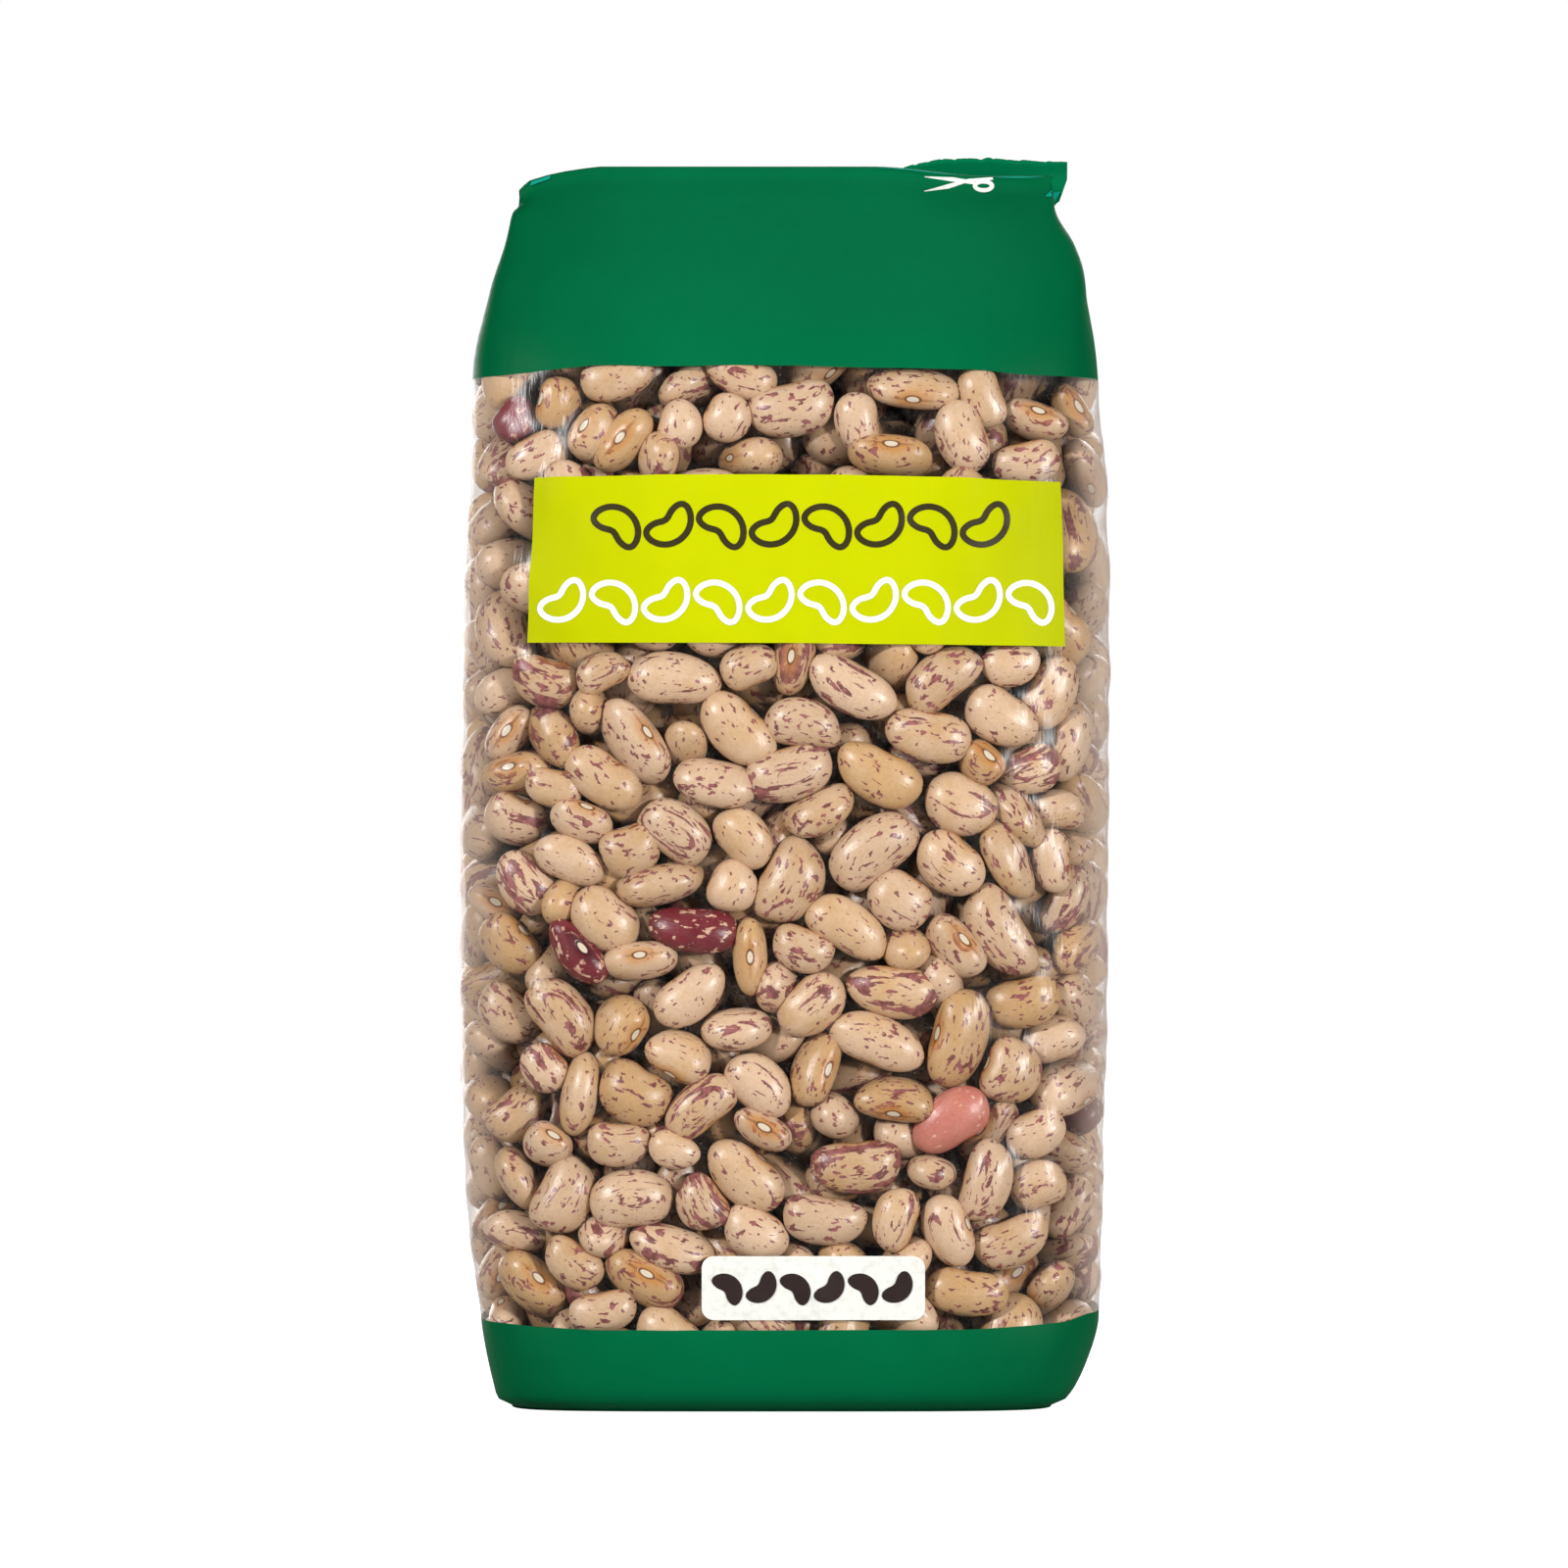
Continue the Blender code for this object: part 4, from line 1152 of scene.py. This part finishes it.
def ring_line(place, half_width, half_height, turn, width):
    angle = np.linspace(0, 2 * math.pi, 41)
    sides = [
        placed((half_width - k) * np.cos(angle), (half_height - k) * np.sin(angle), place, turn)
        for k in (0.0, width / 2, width)
    ]
    return np.stack(sides, axis=1)


def blade(ends, widths):
    """A tapered bar through the ends, with its width at each."""
    ends = np.array(ends, float)
    share = np.linspace(0, 1, 13)[:, None]
    keys = np.linspace(0, 1, len(ends))
    line = np.stack([np.interp(share[:, 0], keys, ends[:, axis]) for axis in (0, 1)], axis=-1)
    way = ends[-1] - ends[0]
    normal = np.array((-way[1], way[0])) / np.linalg.norm(way)
    width = np.interp(share[:, 0], keys, widths)[:, None]
    return np.stack([line + normal * width * k for k in (0.5, 0.0, -0.5)], axis=1)


def facet(a, b, c, d):
    """A small field between four corners."""
    a, b, c, d = (np.array(corner) for corner in (a, b, c, d))
    u, v = np.meshgrid(np.linspace(0, 1, 7), np.linspace(0, 1, 7))
    u, v = u[..., None], v[..., None]
    return (a * (1 - u) + b * u) * (1 - v) + (d * (1 - u) + c * u) * v


def ridge_line(left, right, width):
    """A thin tapered line just under the edge of the ridge, for a painted highlight along the fold."""
    x = np.linspace(left, right, 25)
    z = RIDGE_HEIGHT - 0.05 - FRONT_DIP * smooth((x - FRONT_DIP_FROM) / FRONT_DIP_OVER)
    half = width / 2 * np.sin(np.linspace(0.0, math.pi, 25))
    return np.stack([np.stack([x, z + k * half], axis=-1) for k in (1, 0, -1)], axis=1)


def plate_field():
    """The plate, with round corners."""
    curve = PLATE_CORNER * (1 - np.cos(np.linspace(0, 1, 9) * math.pi / 2))
    flat = np.arange(PLATE_LEFT + PLATE_CORNER, PLATE_RIGHT - PLATE_CORNER, 0.9)
    x = np.unique(np.concatenate([PLATE_LEFT + curve, PLATE_RIGHT - curve, flat]))
    short = np.maximum(0.0, PLATE_CORNER - np.minimum(x - PLATE_LEFT, PLATE_RIGHT - x))
    cut = PLATE_CORNER - np.sqrt(PLATE_CORNER**2 - short**2)
    height = PLATE_BOTTOM - PLATE_TOP + 2 * cut
    rows = np.linspace(0, 1, 14)
    return np.stack([np.stack([x, PLATE_TOP - cut + height * t], axis=-1) for t in rows], axis=1)


def plate_beans():
    """The row of filled beans on the plate."""
    middle = (PLATE_BOTTOM + PLATE_TOP) / 2
    across = np.linspace(PLATE_LEFT + 4.4, PLATE_RIGHT - 4.4, 6)
    return [bean_spot((x, middle), 3.0, 1.75, 48 if k % 2 else 132) for k, x in enumerate(across)]


def painted_fold_glints():
    """Painted highlights: small facets and thin lines of lighter ink where the ends of the ridge are folded.
    """
    return [
        facet((43.9, 203.1), (46.0, 202.95), (46.8, 204.6), (45.1, 204.3)),
        facet((-42.8, 205.0), (-39.4, 206.2), (-39.4, 206.75), (-42.6, 205.7)),
        ridge_line(14.0, 30.5, 0.2),
        ridge_line(34.6, 44.0, 0.26),
    ]


def printed(name, patches, tree, material, lift):
    """Flat shapes laid on the front of the bag, a little proud of the film and parted where it folds away."""
    points, faces = [], []
    for patch in patches:
        rows, columns = patch.shape[:2]
        start = len(points)
        for x, z in patch.reshape(-1, 2):
            found = tree.ray_cast(Vector((x, -80.0, z)), Vector((0.0, 1.0, 0.0)))
            points.append((x, found[0].y - lift if found[0] else 0.0, z))
        for face in patch_faces(rows, columns):
            face = tuple(start + k for k in face)
            depths = [points[k][1] for k in face]
            if max(depths) - min(depths) < FOLD_JUMP:
                faces.append(face)
    return mesh_object(name, points, faces, material)


def label_marks():
    """Two rows of bean outlines: the dark upper row and the white lower row."""
    upper, lower = [], []
    for k, x in enumerate(np.linspace(-27.5, 33.5, 8)):
        upper.append(bean_line((x, 146.9), 4.1, 2.35, 38 if k % 2 else 142, 1.05))
    for k, x in enumerate(np.linspace(-36.5, 41.0, 10)):
        lower.append(bean_line((x, 134.4), 4.0, 2.3, 142 if k % 2 else 38, 1.0))
    return upper, lower


def scissor_marks():
    """The common cut-here sign: two blades that cross, a whole ring, and one that the fold foreshortens."""
    return [
        ring_line((33.6, 204.95), 1.8, 1.15, 0, 0.75),
        blade(((23.7, 206.5), (28.5, 206.05), (32.1, 205.5)), (0.12, 0.75, 0.6)),
        blade(((23.6, 203.9), (27.6, 204.8), (31.0, 205.9), (35.2, 206.25)), (0.12, 0.8, 0.5, 0.45)),
    ]


def packed_beans():
    """The beans' centres, turns, half sizes and shape draws, and the kind of each."""
    draw = np.random.default_rng(SEED)
    letters, places, turns, halves = held_beans()
    held = len(letters)
    half = bean_sizes(draw, BEAN_COUNT)
    half[:held] = halves
    centres, turns = pack_beans(draw, half, (places, turns))
    draws = draw.random((BEAN_COUNT, 4))
    draws[:held, 2] *= 0.6
    for k, letter in enumerate(letters):
        # The yellowest beans, and the one with the heaviest streaks
        if letter == "y":
            draws[k, 2] = 1.0
        if letter == "h":
            draws[k, 1] = 1.25
    settle(centres, turns, half, draws)
    pick = draw.random(BEAN_COUNT)
    kinds = np.where(pick < SPECKLED_BELOW, "speckled", "streaked")
    kinds = np.where(pick > MAROON_ABOVE, "maroon", kinds)
    kinds[:held] = [KINDS[letter] for letter in letters]
    return (centres, turns, half, draws), kinds


def bean_layers(centres):
    """Which beans lie at the front, which all round at the wall, which behind those, and which deeper."""
    out, _ = wall_depths(centres)
    inside = np.minimum(-out, centres[:, 2])
    # No bean lies in the folds of the gussets, behind the top band
    loose = (centres[:, 2] < GUSSET_FROM) | (np.abs(centres[:, 0]) < GUSSET_WITHIN)
    outer = loose & (inside < OUTER_LAYER)
    second = loose & ~outer & (inside < SECOND_LAYER)
    core = loose & ~outer & ~second
    front = centres[:, 1] < -FRONT_SHARE * depth_at(centres[:, 0], centres[:, 2])
    front = outer & front & (centres[:, 1] < -FRONT_LEAST)
    return front, outer, second, core


def add_beans(beans, kinds):
    """The pieces of beans. Gives back a tree of the beans that the film can touch."""
    front, outer, second, core = bean_layers(beans[0])
    around = outer & ~front
    speckled, streaked, maroon, pink = (kinds == kind for kind in SKINS)
    skins = {kind: bean_skin(kind) for kind in SKINS}
    for name, chosen, kind, detail in (
        ("beans_front_speckled", front & speckled, "speckled", 4),
        ("beans_front_streaked", front & streaked, "streaked", 4),
        ("beans_round_speckled", around & speckled, "speckled", 3),
        ("beans_round_streaked", around & streaked, "streaked", 3),
        ("beans_maroon", outer & maroon, "maroon", 4),
        ("beans_pink", outer & pink, "pink", 4),
        ("beans_second_speckled", second & speckled, "speckled", 3),
        ("beans_second_streaked", second & ~speckled, "streaked", 3),
        ("beans_core", core, "speckled", 2),
    ):
        bean_piece(name, beans, chosen, skins[kind], detail)
    points, faces = bean_surfaces(beans, outer | second, 3)
    return BVHTree.FromPolygons(points.reshape(-1, 3).tolist(), faces.tolist())


def bag_film(tree):
    """The film as it lies on the beans and over the ridge, and the grid lines along the print."""
    grid, marks = film_grid()
    normals = grid_normals(grid)
    depth = drape(grid, normals, marks, tree)
    film = droops(pinched(grid - normals * depth[..., None]))
    film[..., 0] = np.clip(film[..., 0], -WIDEST, WIDEST)
    return np.concatenate([film, ridge_cap(film[-1])]), marks


def strip_faces(strip):
    """The faces of the seal strip: its front and back, its ends and its foot."""
    layers, wide = strip.shape[:2]
    faces = patch_faces(layers, wide)
    for r in range(layers // 2 - 1):
        for c, flip in ((0, True), (wide - 1, False)):
            a, b = r * wide + c, (r + 1) * wide + c
            d, e = (layers - 1 - r) * wide + c, (layers - 2 - r) * wide + c
            faces.append((a, d, e, b) if flip else (a, b, e, d))
    foot = (layers - 1) * wide
    return faces + [(c + 1, c, foot + c, foot + c + 1) for c in range(wide - 1)]


def cut_label(window, marks, width):
    """Takes the label's field out of the window."""
    cut = bmesh.new()
    cut.from_mesh(window.data)
    cut.faces.ensure_lookup_table()
    rows = range(marks["label_low"] - marks["sill"], marks["label_high"] - marks["sill"])
    gone = [cut.faces[r * width + c] for r in rows for c in range(marks["left"], marks["right"])]
    bmesh.ops.delete(cut, geom=gone, context="FACES")
    cut.to_mesh(window.data)
    cut.free()


def add_film(shell, marks, strip):
    """The bands, the sole, the seal strip, the back seam, the label and the clear window."""
    green, lime, clear = print_film("green_film"), print_film("lime_film"), clear_film()
    columns = range(shell.shape[1])
    sill, lintel = marks["sill"], marks["lintel"]
    grid_piece("band_top", shell, (lintel, len(shell) - 1), columns, green, True)
    grid_piece("band_bottom", shell, (0, sill), columns, green, True)
    base = sole(shell[0])
    grid_piece("sole", base, (0, len(base) - 1), columns, green, True)
    # The seal strip has the green print made lighter: painted light against the shade behind the ridge
    strip_film_painted_light = print_film("strip_film_painted_light")
    mesh_object("seal_strip", strip.reshape(-1, 3), strip_faces(strip), strip_film_painted_light)
    for name, ends, film, slot in (
        ("fin_top", (WINDOW_TOP, FIN_TOP), green, "green_print"),
        ("fin_window", (WINDOW_BOTTOM, WINDOW_TOP), clear, "clear_film"),
        ("fin_bottom", (FIN_BOTTOM, WINDOW_BOTTOM), green, "green_print"),
    ):
        seam = fin_seam(*ends)
        piece = mesh_object(name, seam.reshape(-1, 3), patch_faces(*seam.shape[:2]), film)
        if film is clear:
            add_attribute(piece, "haze", "FLOAT", np.full(len(piece.data.vertices), FIN_HAZE))
    label_rows = (marks["label_low"], marks["label_high"])
    label_columns = columns[marks["left"] : marks["right"] + 1]
    grid_piece("label", shell, label_rows, label_columns, lime)
    window = grid_piece("film_window", shell, (sill, lintel), columns, clear, True)
    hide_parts("bean_bag")
    cut_label(window, marks, len(columns))
    spots = np.array([v.co for v in window.data.vertices]) / MM - LOFT_TO_FRAME
    add_attribute(window, "haze", "FLOAT", haze_at(spots))


def print_tree(shell, strip):
    """The surfaces that the print lies on."""
    faces = patch_faces(*shell.shape[:2], True)
    start = shell.shape[0] * shell.shape[1]
    faces += [tuple(start + k for k in face) for face in patch_faces(*strip.shape[:2])]
    points = np.concatenate([shell.reshape(-1, 3), strip.reshape(-1, 3)])
    return BVHTree.FromPolygons(points.tolist(), faces)


def add_print(tree):
    """The rows on the label, the cut-here sign, the painted highlights along the folds of the ridge, and the
    plate with its beans.
    """
    upper, lower = label_marks()
    dark, white, bean = (ink(name) for name in INKS)
    painted_glint = print_film("painted_glint_film")
    for name, patches, paint, slot, lift in (
        ("label_row_dark", upper, dark, "green_print", PRINT_LIFT),
        ("label_row_white", lower, white, "lime_print", PRINT_LIFT),
        ("cut_sign", scissor_marks(), white, "green_print", PRINT_LIFT),
        # Painted highlights: lighter ink on the facets and lines where the ridge folds
        ("fold_painted_glints", painted_fold_glints(), painted_glint, "green_print", 0.25),
        ("plate", [plate_field()], white, "lime_print", PRINT_LIFT),
        ("plate_beans", plate_beans(), bean, "green_print", 0.2),
    ):
        printed(name, patches, tree, paint, lift)


# Stage


def add_camera():
    camera = bpy.data.objects.new("camera", bpy.data.cameras.new("camera"))
    camera.data.sensor_width = 36.0
    camera.data.lens = CAMERA_LENS
    camera.data.clip_start = 0.05
    camera.location = CAMERA_PLACE
    camera.rotation_euler = (math.pi / 2, 0.0, 0.0)
    bpy.context.scene.collection.objects.link(camera)
    bpy.context.scene.camera = camera


def add_lamps():
    """Small lamps in front for the glints, and large ones behind for the edges."""
    for name, (place, aim, size, power) in LAMPS.items():
        light = bpy.data.lights.new(name, "AREA")
        light.size = size
        light.energy = power
        lamp = bpy.data.objects.new(name, light)
        lamp.location = place
        way = Vector((0.0, 0.0, aim)) - Vector(place)
        lamp.rotation_euler = way.to_track_quat("-Z", "Y").to_euler()
        bpy.context.scene.collection.objects.link(lamp)


def add_floor():
    """A pale floor that can be seen through from below."""
    s = shading("pale_floor")
    pale = s.add("BsdfDiffuse", {"Color": (FLOOR_GREY, FLOOR_GREY, FLOOR_GREY, 1.0)})
    seen = s.add("LightPath", {}, "Is Camera Ray")
    strength = s.plus(s.times(seen, FLOOR_SEEN), FLOOR_GLOW)
    lit = s.add("AddShader", {0: pale, 1: s.add("Emission", {"Color": WHITE, "Strength": strength})})
    below = s.add("NewGeometry", {}, "Backfacing")
    material = s.finish(s.add("MixShader", {0: below, 1: lit, 2: s.add("BsdfTransparent", {})}))
    mesh = bpy.data.meshes.new("floor")
    corners = [(x * FLOOR_HALF, y * FLOOR_HALF, 0) for x, y in ((-1, -1), (1, -1), (1, 1), (-1, 1))]
    mesh.from_pydata(corners, [], [(0, 1, 2, 3)])
    mesh.materials.append(material)
    floor = bpy.data.objects.new("floor", mesh)
    floor.location.z = -FLOOR_DROP
    bpy.context.scene.collection.objects.link(floor)


def add_room():
    """A white room that gives little light of its own."""
    s = Shading(bpy.data.worlds.new("white_room"))
    room = s.add("Background", {"Color": WHITE, "Strength": ROOM_GLOW})
    white = s.add("Background", {"Color": WHITE, "Strength": 1.0})
    seen = s.add("LightPath", {}, "Is Camera Ray")
    bpy.context.scene.world = s.finish(s.add("MixShader", {0: seen, 1: room, 2: white}), "OutputWorld")
    bpy.context.scene.view_settings.view_transform = "Standard"


def main():
    tree = add_beans(*packed_beans())
    shell, marks = bag_film(tree)
    strip = seal_strip()
    add_film(shell, marks, strip)
    add_print(print_tree(shell, strip))
    add_camera()
    add_lamps()
    add_floor()
    add_room()


main()
